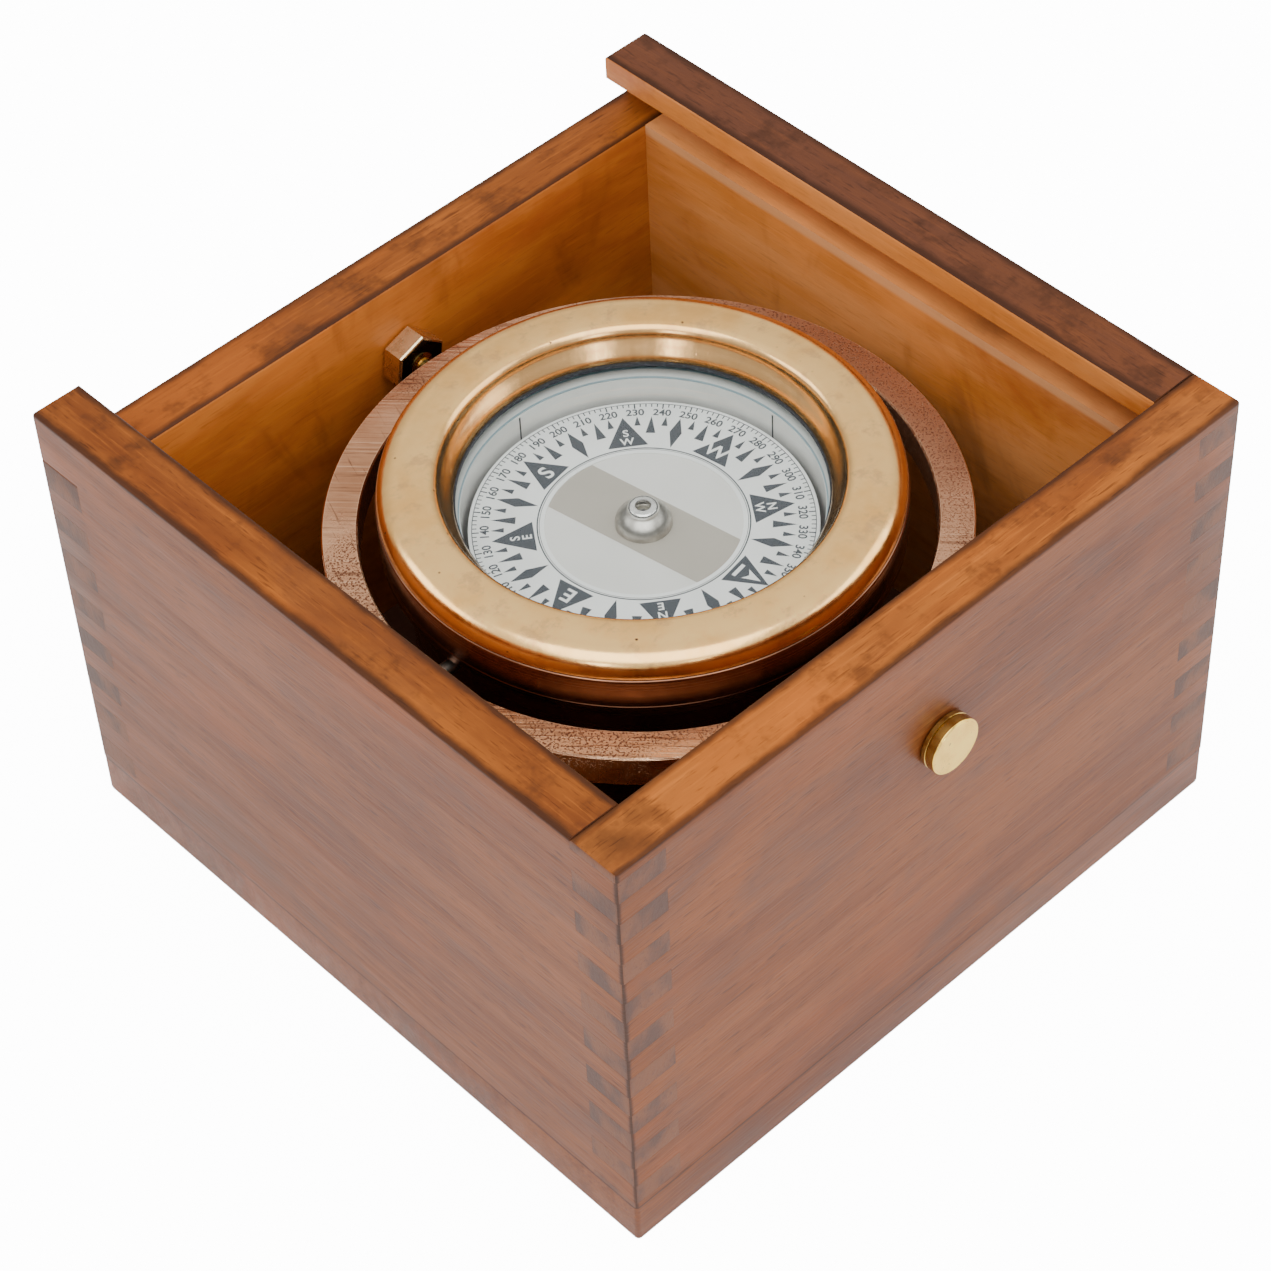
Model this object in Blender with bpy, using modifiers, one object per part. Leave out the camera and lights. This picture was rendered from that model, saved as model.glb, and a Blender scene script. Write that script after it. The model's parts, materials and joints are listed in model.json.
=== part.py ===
"""Boxed marine compass: a liquid compass hung in a gimbal ring inside a
finger-jointed wooden box with grooves for a sliding lid.

Frame: metres, +Z up, origin at the bottom centre of the box.  The front wall
faces -Y, the low back wall faces +Y.  The gimbal ring turns about Y on two
screws through the front and back walls, the bowl turns about X on two pins
through the ring, and the card turns about Z on the pivot inside the bowl.
"""
import math

import bmesh
import bpy
from mathutils import Matrix, Vector

MM = 0.001
GAP = 0.3 * MM                       # clearance kept between pieces that touch
HALF_GAP = 0.5 * GAP

# Box
BOX = 178.0 * MM                     # outside width and depth
BOX_H = 120.0 * MM
WALL = 12.7 * MM
BASE_T = 12.0 * MM
BACK_TOP = 107.0 * MM                # the lid slides in over the back wall
FINGER = 6.1 * MM
FIRST_FINGER = 13.6 * MM
FRONT_FINGERS = 9
BACK_FINGERS = 8
GROOVE_H = 6.7 * MM
GROOVE_DEPTH = 6.2 * MM
BOX_EDGE = 1.0 * MM                  # worn round along the base board's edges
HALF = BOX / 2
INNER = HALF - WALL

# Gimbal
PIVOT_Z = 87.0 * MM
RING_Y = -3.3 * MM                   # the ring sits a little forward on its pins
RING_R = 69.7 * MM
RING_BORE_R = 61.9 * MM
RING_T = 8.0 * MM
BOX_PIN_R = 2.0 * MM
PIVOT_SHANK_R = 3.1 * MM
BUTTON_R = 6.7 * MM
BUTTON_T = 3.9 * MM
NUT_FLATS = 12.6 * MM
BACK_NUT_T = 6.0 * MM
FRONT_NUT_T = 2.4 * MM
BOWL_PIN_R = 1.6 * MM
GRUB_R = 2.5 * MM

# Bowl, about its own upright axis
BOWL_X = -1.2 * MM
BOWL_Y = RING_Y
SKIRT_R = 57.1 * MM
SKIRT_LOW = 90.1 * MM
SKIRT_TOP = 100.5 * MM
SKIRT_LINE = 93.0 * MM                # fine turned line round the skirt
BODY_R = 51.0 * MM
BODY_INNER_R = 48.5 * MM
BODY_LOW = 45.0 * MM
FLOOR_TOP = 52.0 * MM
FLOOR_LOW = 49.0 * MM
LEDGE = 93.3 * MM
BEZEL_R = 55.0 * MM
BEZEL_BORE_R = 41.2 * MM
BEZEL_TOP = 106.0 * MM
THREAD_R = 49.0 * MM
GLASS_R = 45.5 * MM
GLASS_LOW = 95.1 * MM
GLASS_TOP = 97.6 * MM
GASKET_TOP = 99.1 * MM
LINER_R = 39.6 * MM
COVER_R = 36.0 * MM
COVER_TOP = 44.7 * MM
COVER_SCREW_CIRCLE = 32.0 * MM
WEIGHT_SCREW_CIRCLE = 42.0 * MM
PLUG_Z = 66.0 * MM

# Card, about its own upright axis
CARD_R = 38.2 * MM
CARD_TOP = 89.1 * MM
CARD_T = 0.5 * MM
WINDOW_R = 21.3 * MM
NORTH = math.radians(-80.5)          # where the card's north points at rest
MAGNET_CASE_W = 15.5 * MM
MAGNET_CASE_L = 58.0 * MM
MAGNET_CASE_TOP = 87.6 * MM
MAGNET_CASE_T = 3.8 * MM
CARD_HOLE_R = 5.0 * MM
DOME_R = 6.1 * MM
CAP_R = 3.6 * MM
CAP_TOP = 94.3 * MM

ROUND_STEPS = 40
SMALL_STEPS = 20

MATERIALS = {
    "stained_wood": ((0.30, 0.13, 0.055), 0.42, 0.0),
    "base_wood": ((0.26, 0.12, 0.06), 0.48, 0.0),
    "copper_bronze": ((0.66, 0.36, 0.22), 0.34, 1.0),
    "polished_brass": ((0.83, 0.62, 0.36), 0.16, 1.0),
    "dark_steel": ((0.16, 0.14, 0.12), 0.40, 1.0),
    "rubber": ((0.03, 0.04, 0.06), 0.60, 0.0),
    "white_enamel": ((0.80, 0.80, 0.76), 0.35, 0.0),
    "card_white": ((0.84, 0.84, 0.80), 0.55, 0.0),
    "clear_glass": ((0.92, 0.95, 0.96), 0.03, 0.0),
    "tinned_metal": ((0.60, 0.58, 0.52), 0.32, 1.0),
    "lead": ((0.24, 0.24, 0.26), 0.55, 1.0),
    "sapphire": ((0.55, 0.10, 0.16), 0.08, 0.0),
}


def clear_scene():
    for item in list(bpy.data.objects):
        bpy.data.objects.remove(item, do_unlink=True)


def new_collection(name):
    collection = bpy.data.collections.new(name)
    bpy.context.scene.collection.children.link(collection)
    return collection


def make_material(name):
    colour, roughness, metallic = MATERIALS[name]
    material = bpy.data.materials.new(name)
    material.use_nodes = True
    shader = material.node_tree.nodes["Principled BSDF"]
    shader.inputs["Base Color"].default_value = (*colour, 1.0)
    shader.inputs["Roughness"].default_value = roughness
    shader.inputs["Metallic"].default_value = metallic
    return material


clear_scene()
PARTS = new_collection("boxed_marine_compass")
CUTTERS = new_collection("cutters")
FINISH = {name: make_material(name) for name in MATERIALS}


def add_object(name, mesh, finish, origin=(0, 0, 0), parent=None):
    """Link a mesh, drawn about `origin`, as one named piece."""
    item = bpy.data.objects.new(name, mesh)
    PARTS.objects.link(item)
    item.location = origin
    mesh.materials.append(FINISH[finish])
    if parent is not None:
        item.parent = parent
    return item


def add_empty(name, origin, turn=0.0, parent=None):
    """An axis marker that moving pieces hang from."""
    marker = bpy.data.objects.new(name, None)
    PARTS.objects.link(marker)
    marker.location = origin
    marker.rotation_euler = (0, 0, turn)
    if parent is not None:
        marker.parent = parent
    return marker


def mesh_from(build, name):
    mesh = bpy.data.meshes.new(name)
    shape = bmesh.new()
    build(shape)
    bmesh.ops.recalc_face_normals(shape, faces=shape.faces)
    shape.to_mesh(mesh)
    shape.free()
    return mesh


def block_mesh(name, blocks):
    """One mesh of upright blocks, each given as its low and high corners."""
    def build(shape):
        for low, high in blocks:
            size = [b - a for a, b in zip(low, high)]
            centre = [(a + b) / 2 for a, b in zip(low, high)]
            made = bmesh.ops.create_cube(shape, size=1.0)["verts"]
            bmesh.ops.scale(shape, vec=size, verts=made)
            bmesh.ops.translate(shape, vec=centre, verts=made)
    return mesh_from(build, name)


def rod_mesh(name, radius, start, end, steps=SMALL_STEPS, tip_radius=None):
    """A closed cylinder, or a cone, from start to end."""
    start, end = Vector(start), Vector(end)
    axis = end - start
    turn = Vector((0, 0, 1)).rotation_difference(axis).to_matrix().to_4x4()
    place = Matrix.Translation((start + end) / 2) @ turn
    top = radius if tip_radius is None else tip_radius

    def build(shape):
        bmesh.ops.create_cone(shape, cap_ends=True, segments=steps, radius1=radius,
                              radius2=top, depth=axis.length, matrix=place)
    return mesh_from(build, name)


def cut(piece, cutter_mesh, origin=(0, 0, 0)):
    """Take a closed cutter out of a piece with a Boolean modifier."""
    cutter = bpy.data.objects.new(cutter_mesh.name, cutter_mesh)
    CUTTERS.objects.link(cutter)
    cutter.location = origin
    cutter.display_type = "WIRE"
    cutter.hide_render = True
    boolean = piece.modifiers.new(cutter.name, "BOOLEAN")
    boolean.operation = "DIFFERENCE"
    boolean.solver = "EXACT"
    boolean.object = cutter
    return piece


def turned(name, profile, finish, origin=(0, 0, 0), parent=None, steps=ROUND_STEPS,
           axis="Z", closed=True):
    """A turned piece: the profile's (radius, height) points run down the outer
    side and back up the inner side.  An open profile starts and ends on the axis."""
    mesh = bpy.data.meshes.new(name)
    points = [(radius, 0.0, height) for radius, height in profile]
    edges = [(i, i + 1) for i in range(len(points) - 1)]
    if closed:
        edges.append((len(points) - 1, 0))
    mesh.from_pydata(points, edges, [])
    piece = add_object(name, mesh, finish, origin, parent)
    if axis == "Y":
        piece.rotation_euler = (-math.pi / 2, 0, 0)
    if axis == "-Y":
        piece.rotation_euler = (math.pi / 2, 0, 0)
    screw = piece.modifiers.new("turn", "SCREW")
    screw.axis = "Z"
    screw.steps = steps
    screw.render_steps = steps
    screw.use_merge_vertices = True
    screw.merge_threshold = 0.00001
    screw.use_smooth_shade = True
    return piece


def arc(centre, radius, start, end, steps, height=None):
    """Points of a circular arc, or of an ellipse with its own half height, by degrees."""
    points = []
    tall = radius if height is None else height
    for i in range(steps + 1):
        angle = math.radians(start + (end - start) * i / steps)
        points.append((centre[0] + radius * math.cos(angle), centre[1] + tall * math.sin(angle)))
    return points


def soften(piece, width, segments=1):
    bevel = piece.modifiers.new("worn_edge", "BEVEL")
    bevel.width = width
    bevel.segments = segments
    bevel.limit_method = "ANGLE"
    bevel.harden_normals = False


def finger_rows(count, top=None):
    """Low and high edge of each finger up one corner of the box."""
    rows = []
    for k in range(count):
        low = FIRST_FINGER + 2 * k * FINGER
        rows.append([low, low + FINGER])
    if top is not None:
        rows[-1][1] = top
    return rows


FRONT_ROWS = finger_rows(FRONT_FINGERS)
BACK_ROWS = finger_rows(BACK_FINGERS, BACK_TOP)
REACH = HALF + 5 * MM                # how far cutters run past the outside


def corner_blocks(rows, side, end, grow):
    """Blocks that fill the given rows at the corner on `side` of X, `end` of Y."""
    blocks = []
    for low, high in rows:
        x = sorted((side * (INNER - grow), side * REACH))
        y = sorted((end * (INNER - grow), end * REACH))
        blocks.append(((x[0], y[0], low - grow), (x[1], y[1], high + grow)))
    return blocks


def rows_between(rows, low, high):
    """The rows left over between the given ones."""
    left = []
    edge = low
    for start, stop in rows:
        left.append([edge, start])
        edge = stop
    if edge < high - FINGER / 4:
        left.append([edge, high])
    return left


def make_box():
    low_z = BASE_T + HALF_GAP
    over = 5 * MM
    groove_low, groove_high = BACK_TOP, BACK_TOP + GROOVE_H

    base = add_object("base_board", block_mesh("base_board", [
        ((-HALF, -HALF, 0), (HALF, HALF, BASE_T - HALF_GAP))]), "base_wood")
    soften(base, BOX_EDGE)

    front = add_object("front_wall", block_mesh("front_wall", [
        ((-HALF, -HALF, low_z), (HALF, -INNER, BOX_H))]), "stained_wood")
    back = add_object("back_wall", block_mesh("back_wall", [
        ((-HALF, INNER, low_z), (HALF, HALF, BACK_TOP - HALF_GAP))]), "stained_wood")
    back_gaps = rows_between(BACK_ROWS, BASE_T - over, BACK_TOP)
    for side, word in ((-1, "left"), (1, "right")):
        # The front wall gives way to the side wall's fingers.
        cut(front, block_mesh(f"front_{word}_sockets",
                              corner_blocks(FRONT_ROWS, side, -1, HALF_GAP)))
        cut(back, block_mesh(f"back_{word}_sockets",
                             corner_blocks(back_gaps, side, 1, HALF_GAP)))
    cut(front, block_mesh("front_lid_groove", [
        ((-INNER - HALF_GAP, -INNER - GROOVE_DEPTH, groove_low),
         (INNER + HALF_GAP, -INNER + over, groove_high))]))

    front_gaps = rows_between(FRONT_ROWS, BASE_T - over, BOX_H + over)
    for side, word in ((-1, "left"), (1, "right")):
        x = sorted((side * INNER, side * HALF))
        wall = add_object(f"{word}_wall", block_mesh(f"{word}_wall", [
            ((x[0], -HALF, low_z), (x[1], HALF, BOX_H))]), "stained_wood")
        cut(wall, block_mesh(f"{word}_front_sockets",
                             corner_blocks(front_gaps, side, -1, HALF_GAP)))
        cut(wall, block_mesh(f"{word}_back_sockets",
                             corner_blocks(BACK_ROWS, side, 1, HALF_GAP)))
        groove = sorted((side * (INNER - over), side * (INNER + GROOVE_DEPTH)))
        cut(wall, block_mesh(f"{word}_lid_groove", [
            ((groove[0], -INNER, groove_low), (groove[1], REACH, groove_high))]))

    for wall, end in ((front, -1), (back, 1)):
        cut(wall, rod_mesh(f"{wall.name}_pivot_hole", PIVOT_SHANK_R + GAP,
                           (0, end * (INNER - over), PIVOT_Z), (0, end * REACH, PIVOT_Z)))
    make_base_screws(base, front, back)


def make_base_screws(base, front, back):
    """Countersunk screws up through the base board into the four walls."""
    shank_r, head_r, head_t, length = 1.7 * MM, 3.4 * MM, 2.2 * MM, 34 * MM
    sunk = 0.4 * MM
    middle = HALF - WALL / 2
    walls = {"front": front, "back": back, "left": bpy.data.objects["left_wall"],
             "right": bpy.data.objects["right_wall"]}
    spread = 50 * MM
    places = {"front": [(-spread, -middle), (spread, -middle)],
              "back": [(-spread, middle), (spread, middle)],
              "left": [(-middle, -spread), (-middle, spread)],
              "right": [(middle, -spread), (middle, spread)]}
    for word, spots in places.items():
        for number, (x, y) in enumerate(spots, 1):
            screw = turned(f"base_screw_{word}_{number}", [
                (0, length), (shank_r * 0.4, length - 2 * MM), (shank_r, length - 5 * MM),
                (shank_r, sunk + head_t), (head_r, sunk), (0, sunk)],
                "polished_brass", (x, y, 0), steps=12, closed=False)
            profile = [(0, length + GAP), (shank_r + GAP, length + GAP),
                       (shank_r + GAP, sunk + head_t), (head_r + GAP, sunk),
                       (head_r + GAP, -1 * MM), (0, -1 * MM)]
            for wood in (base, walls[word]):
                hole = turned_cutter(f"{screw.name}_hole_{wood.name}", profile, 12)
                cut(wood, hole, (x, y, 0))


def turned_cutter(name, profile, steps):
    """A closed turned mesh for cutting, made from stacked rings of points."""
    def build(shape):
        rings = []
        for radius, height in profile:
            if radius == 0:
                rings.append([shape.verts.new((0, 0, height))])
                continue
            ring = []
            for i in range(steps):
                angle = 2 * math.pi * i / steps
                spot = (radius * math.cos(angle), radius * math.sin(angle), height)
                ring.append(shape.verts.new(spot))
            rings.append(ring)
        for upper, lower in zip(rings, rings[1:]):
            for i in range(steps):
                j = (i + 1) % steps
                corners = [upper[i % len(upper)], lower[i % len(lower)],
                           lower[j % len(lower)], upper[j % len(upper)]]
                shape.faces.new(list(dict.fromkeys(corners)))
    return mesh_from(build, name)


def make_box_pivot(word, end, nut_t, ring_edge):
    """Screw with a round button head outside the wall, and its nut inside."""
    # Along the screw, heights count outwards from the box's middle.
    tip = abs(ring_edge) - 5.2 * MM
    groove = 0.25 * MM
    face = HALF + GAP
    top = face + BUTTON_T - GAP
    profile = [
        (0, top), (BUTTON_R - 0.5 * MM, top), (BUTTON_R, top - 0.4 * MM),
        (BUTTON_R, face + 1.55 * MM), (BUTTON_R - groove, face + 1.35 * MM),
        (BUTTON_R, face + 1.15 * MM), (BUTTON_R, face + 0.3 * MM),
        (BUTTON_R - 0.3 * MM, face), (PIVOT_SHANK_R, face),
        (PIVOT_SHANK_R, INNER - nut_t - 0.6 * MM), (BOX_PIN_R, INNER - nut_t - 0.9 * MM),
        (BOX_PIN_R, tip + 0.5 * MM), (BOX_PIN_R - 0.5 * MM, tip), (0, tip)]
    axis = "Y" if end > 0 else "-Y"
    turned(f"{word}_pivot_screw", profile, "polished_brass", (0, 0, PIVOT_Z),
           steps=24, axis=axis, closed=False)

    inner_face = INNER - GAP
    hexagon = NUT_FLATS / math.sqrt(3)
    middle = inner_face - nut_t / 2
    start = (0, end * (middle + nut_t / 2), PIVOT_Z)
    stop = (0, end * (middle - nut_t / 2), PIVOT_Z)
    nut = add_object(f"{word}_pivot_nut",
                     rod_mesh(f"{word}_pivot_nut", hexagon, start, stop, steps=6),
                     "polished_brass")
    turn = Matrix.Rotation(math.radians(10), 4, "Y")
    lift = Matrix.Translation((0, 0, PIVOT_Z))
    nut.data.transform(lift @ turn @ lift.inverted())
    soften(nut, 0.5 * MM)
    cut(nut, rod_mesh(f"{word}_nut_bore", PIVOT_SHANK_R + GAP,
                      (0, end * (INNER + 2 * MM), PIVOT_Z),
                      (0, end * (INNER - 12 * MM), PIVOT_Z)))


def make_gimbal_ring(hang):
    chamfer = 0.4 * MM
    half_t = RING_T / 2
    profile = [
        (RING_R - chamfer, half_t), (RING_R, half_t - chamfer),
        (RING_R, chamfer - half_t), (RING_R - chamfer, -half_t),
        (RING_BORE_R + chamfer, -half_t), (RING_BORE_R, chamfer - half_t),
        (RING_BORE_R, half_t - chamfer), (RING_BORE_R + chamfer, half_t)]
    ring = turned("gimbal_ring", profile, "copper_bronze", (0, RING_Y, 0), hang)
    far = RING_R + 6 * MM
    near = RING_BORE_R - 6 * MM
    for word, direction, radius in (
            ("front", (0, -1), BOX_PIN_R + GAP), ("back", (0, 1), BOX_PIN_R + GAP),
            ("left", (-1, 0), GRUB_R + GAP), ("right", (1, 0), GRUB_R + GAP)):
        start = (direction[0] * near, RING_Y + direction[1] * near, PIVOT_Z)
        stop = (direction[0] * far, RING_Y + direction[1] * far, PIVOT_Z)
        cut(ring, rod_mesh(f"ring_{word}_hole", radius, start, stop, steps=20))


def make_bowl_pins(hang):
    """Grub screws through the ring whose plain ends carry the bowl."""
    for word, side in (("left", -1), ("right", 1)):
        body_end = side * BODY_R + BOWL_X
        deep = abs(body_end) - 4.2 * MM
        outer = RING_R - 0.5 * MM
        profile = [
            (0, outer), (GRUB_R - 0.3 * MM, outer), (GRUB_R, outer - 0.3 * MM),
            (GRUB_R, RING_BORE_R - 1.0 * MM), (BOWL_PIN_R, RING_BORE_R - 1.6 * MM),
            (BOWL_PIN_R, deep + 0.4 * MM), (BOWL_PIN_R - 0.4 * MM, deep), (0, deep)]
        pin = turned(f"bowl_pivot_pin_{word}", profile, "dark_steel",
                     (0, RING_Y, 0), hang, steps=20, closed=False)
        pin.rotation_euler = (0, side * math.pi / 2, 0)
        slot_half, slot_deep = 0.35 * MM, 1.0 * MM
        x = sorted((side * (outer - slot_deep), side * (outer + 2 * MM)))
        cut(pin, block_mesh(f"pin_{word}_slot", [
            ((x[0], RING_Y - GRUB_R * 2, PIVOT_Z - slot_half),
             (x[1], RING_Y + GRUB_R * 2, PIVOT_Z + slot_half))]))


def bowl_piece(name, profile, finish, hang, **options):
    """A turned piece on the bowl's upright axis, heights above the box's foot."""
    lowered = [(radius, height - PIVOT_Z) for radius, height in profile]
    return turned(name, lowered, finish, (BOWL_X, 0, 0), hang, **options)


def make_bowl_body(hang):
    seat_top, seat_r, recess_r = 46.1 * MM, 30.0 * MM, 27.0 * MM
    boss_low = 78.0 * MM
    line, nick = SKIRT_LINE, 0.15 * MM
    profile = [
        (THREAD_R, SKIRT_TOP), (BEZEL_R + 0.2 * MM, SKIRT_TOP),
        (SKIRT_R - 0.6 * MM, SKIRT_TOP - 0.1 * MM), (SKIRT_R, SKIRT_TOP - 0.7 * MM),
        (SKIRT_R, line + nick), (SKIRT_R - nick, line), (SKIRT_R, line - nick),
        (SKIRT_R, SKIRT_LOW + 0.4 * MM), (SKIRT_R - 0.4 * MM, SKIRT_LOW),
        (BODY_R, SKIRT_LOW)]
    profile += arc((BODY_R - 4 * MM, BODY_LOW + 4 * MM), 4 * MM, 0, -90, 4)
    profile += [
        (seat_r, BODY_LOW), (seat_r, seat_top), (recess_r, seat_top),
        (recess_r, FLOOR_LOW), (3.5 * MM, FLOOR_LOW), (3.5 * MM, FLOOR_TOP),
        (BODY_INNER_R - 3 * MM, FLOOR_TOP), (BODY_INNER_R, FLOOR_TOP + 3 * MM),
        (BODY_INNER_R, boss_low), (44.0 * MM, boss_low + 4 * MM), (44.0 * MM, 90 * MM),
        (41.4 * MM, LEDGE - 1 * MM), (41.4 * MM, LEDGE),
        (GLASS_R + 0.4 * MM, LEDGE), (GLASS_R + 0.4 * MM, 95.6 * MM),
        (THREAD_R, 95.6 * MM)]
    body = bowl_piece("bowl_body", profile, "copper_bronze", hang)
    for word, side in (("left", -1), ("right", 1)):
        start = (BOWL_X + side * (BODY_R + 3 * MM), BOWL_Y, PIVOT_Z)
        stop = (BOWL_X + side * (BODY_R - 4.6 * MM), BOWL_Y, PIVOT_Z)
        cut(body, rod_mesh(f"bowl_{word}_pin_hole", BOWL_PIN_R + GAP, start, stop, steps=16))
    for number in range(6):
        angle = math.radians(60 * number + 2)
        x = BOWL_X + 15 * MM * math.cos(angle)
        y = BOWL_Y + 15 * MM * math.sin(angle)
        cut(body, rod_mesh(f"liquid_hole_{number + 1}", 2.2 * MM, (x, y, FLOOR_LOW - 2 * MM),
                           (x, y, FLOOR_TOP + 2 * MM), steps=12))
    return body


def make_bezel(hang):
    """Rounded brass bezel: crown, rolled inner edge, bore, and thread below."""
    profile = arc((BEZEL_R - 3.7 * MM, 101.0 * MM), 3.7 * MM, 0, 86, 5, 4.7 * MM)
    profile += [(48.0 * MM, BEZEL_TOP)]
    profile += arc((45.6 * MM, BEZEL_TOP - 2.6 * MM), 2.6 * MM, 90, 175, 4)
    profile += [
        (42.2 * MM, 101.6 * MM), (41.5 * MM, 100.4 * MM), (BEZEL_BORE_R, 99.9 * MM),
        (BEZEL_BORE_R, 99.4 * MM), (GLASS_R + 0.6 * MM, 99.4 * MM),
        (GLASS_R + 0.6 * MM, 96.0 * MM), (THREAD_R - GAP, 96.0 * MM),
        (THREAD_R - GAP, SKIRT_TOP + GAP), (BEZEL_R, SKIRT_TOP + GAP)]
    # That list runs up the outer side, and a turned piece wants it down.
    profile.reverse()
    bowl_piece("bezel_ring", profile, "polished_brass", hang)


def ring_profile(inner, outer, low, high):
    """Rectangle section, run so that its outside is the outer side."""
    return [(inner, high), (outer, high), (outer, low), (inner, low)]


def make_bowl_fittings(hang):
    bowl_piece("upper_gasket", ring_profile(39.8 * MM, GLASS_R, GLASS_TOP + GAP, GASKET_TOP),
               "rubber", hang)
    bowl_piece("cover_glass", [
        (0, GLASS_TOP), (GLASS_R - 0.4 * MM, GLASS_TOP), (GLASS_R, GLASS_TOP - 0.4 * MM),
        (GLASS_R, GLASS_LOW + 0.4 * MM), (GLASS_R - 0.4 * MM, GLASS_LOW), (0, GLASS_LOW)],
        "clear_glass", hang, closed=False)
    bowl_piece("lower_gasket", ring_profile(41.4 * MM, GLASS_R, LEDGE + GAP, GLASS_LOW - GAP),
               "rubber", hang)
    bowl_piece("white_liner", ring_profile(LINER_R, LINER_R + 1.0 * MM, FLOOR_TOP + GAP,
                                           GLASS_LOW - GAP), "white_enamel", hang)
    # Stand for the pivot, held by a nut under the bowl's floor.
    bowl_piece("pivot_post", [
        (0, 80.0 * MM), (3.0 * MM, 80.0 * MM), (3.5 * MM, 79.5 * MM), (3.5 * MM, 56 * MM),
        (7.0 * MM, 53.5 * MM), (7.0 * MM, FLOOR_TOP + GAP), (3.2 * MM, FLOOR_TOP + GAP),
        (3.2 * MM, 46.6 * MM), (0, 46.6 * MM)], "tinned_metal", hang, steps=20, closed=False)
    post = bpy.data.objects["pivot_post"]
    cut(post, rod_mesh("pivot_point_hole", 1.0 * MM + GAP, (BOWL_X, BOWL_Y, 74 * MM),
                       (BOWL_X, BOWL_Y, 84 * MM), steps=16))
    bowl_piece("pivot_point", [
        (0, 91.3 * MM), (0.3 * MM, 90.9 * MM), (1.0 * MM, 86.5 * MM), (1.0 * MM, 74.4 * MM),
        (0, 74.4 * MM)], "dark_steel", hang, steps=16, closed=False)
    nut_mesh = rod_mesh("post_nut", 4.9 * MM, (BOWL_X, BOWL_Y, FLOOR_LOW - GAP),
                        (BOWL_X, BOWL_Y, 46.4 * MM), steps=6)
    nut = add_object("post_nut", nut_mesh, "polished_brass")
    cut(nut, rod_mesh("post_nut_bore", 3.5 * MM, (BOWL_X, BOWL_Y, 45 * MM),
                      (BOWL_X, BOWL_Y, 52 * MM), steps=16))


def make_bowl_bottom(hang, body):
    thick = 0.4 * MM
    middle_z = 45.4 * MM

    def wave(radius):
        return middle_z - 0.35 * MM * (1 - math.cos(2 * math.pi * radius / (9 * MM)))
    radii = [i * 4.5 * MM for i in range(7)]
    upper = [(r, wave(r)) for r in radii] + [(29.7 * MM, middle_z)]
    lower = [(29.7 * MM, middle_z - thick)] + [(r, wave(r) - thick) for r in reversed(radii)]
    bowl_piece("expansion_diaphragm", upper + lower, "tinned_metal", hang, steps=24,
               closed=False)
    low = COVER_TOP - 3 * MM
    cover = bowl_piece("bottom_cover", [
        (26 * MM, COVER_TOP), (COVER_R, COVER_TOP), (COVER_R, low), (27 * MM, low),
        (24 * MM, low - 3 * MM), (1.5 * MM, low - 3 * MM), (1.5 * MM, low - 1.5 * MM),
        (23.3 * MM, low - 1.5 * MM), (26 * MM, low + 1.2 * MM)],
        "copper_bronze", hang, steps=36)
    weight = bowl_piece("balance_weight", ring_profile(38 * MM, 46 * MM, 40.5 * MM, COVER_TOP),
                        "lead", hang, steps=36)
    sets = (("cover_screw", 6, COVER_SCREW_CIRCLE, low, cover, 32.0),
            ("weight_screw", 3, WEIGHT_SCREW_CIRCLE, 40.5 * MM, weight, 93.0))
    for stem, count, circle, seat, held, first in sets:
        for number in range(count):
            angle = math.radians(first + 360 * number / count)
            x = circle * math.cos(angle)
            y = circle * math.sin(angle)
            top = 50.0 * MM
            head = seat - GAP
            profile = [(0, top), (1.25 * MM, top), (1.25 * MM, head), (2.4 * MM, head),
                       (2.4 * MM, head - 1.5 * MM), (0, head - 1.5 * MM)]
            lowered = [(radius, height - PIVOT_Z) for radius, height in profile]
            turned(f"{stem}_{number + 1}", lowered, "polished_brass", (BOWL_X + x, y, 0),
                   hang, steps=12, closed=False)
            spot = (BOWL_X + x, BOWL_Y + y)
            for piece in (held, body):
                cut(piece, rod_mesh(f"{stem}_{number + 1}_hole_{piece.name}",
                                    1.25 * MM + GAP, (*spot, 38 * MM), (*spot, top + GAP),
                                    steps=12))


def make_filler_plug(body):
    """Slotted plug, on a washer, where the bowl is filled with liquid."""
    stem_r, head_r, washer_t = 2.6 * MM, 4.2 * MM, 0.8 * MM
    wall_y = BOWL_Y + BODY_R
    centre = (BOWL_X, PLUG_Z)

    def along(y):
        return (centre[0], y, centre[1])
    cut(body, rod_mesh("filler_hole", stem_r + GAP, along(wall_y - 8 * MM),
                       along(wall_y + 4 * MM), steps=16))
    cut(body, rod_mesh("filler_flat", head_r + 0.8 * MM, along(wall_y - 0.9 * MM),
                       along(wall_y + 4 * MM), steps=20))
    seat = wall_y - 0.9 * MM + GAP
    washer = add_object("filler_washer", rod_mesh("filler_washer", head_r, along(seat),
                        along(seat + washer_t), steps=20), "rubber")
    cut(washer, rod_mesh("filler_washer_bore", stem_r + GAP, along(seat - 3 * MM),
                         along(seat + 3 * MM), steps=16))
    head_low = seat + washer_t + GAP
    profile = [(0, head_low + 1.2 * MM), (head_r - 0.3 * MM, head_low + 1.2 * MM),
               (head_r, head_low + 0.9 * MM), (head_r, head_low), (stem_r, head_low),
               (stem_r, wall_y - 3.4 * MM), (0, wall_y - 3.4 * MM)]
    plug = turned("filler_plug", profile, "polished_brass", (BOWL_X, 0, PLUG_Z),
                  steps=20, axis="Y", closed=False)
    cut(plug, block_mesh("filler_slot", [
        ((BOWL_X - 6 * MM, head_low + 0.5 * MM, PLUG_Z - 0.4 * MM),
         (BOWL_X + 6 * MM, head_low + 3 * MM, PLUG_Z + 0.4 * MM))]))


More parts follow.
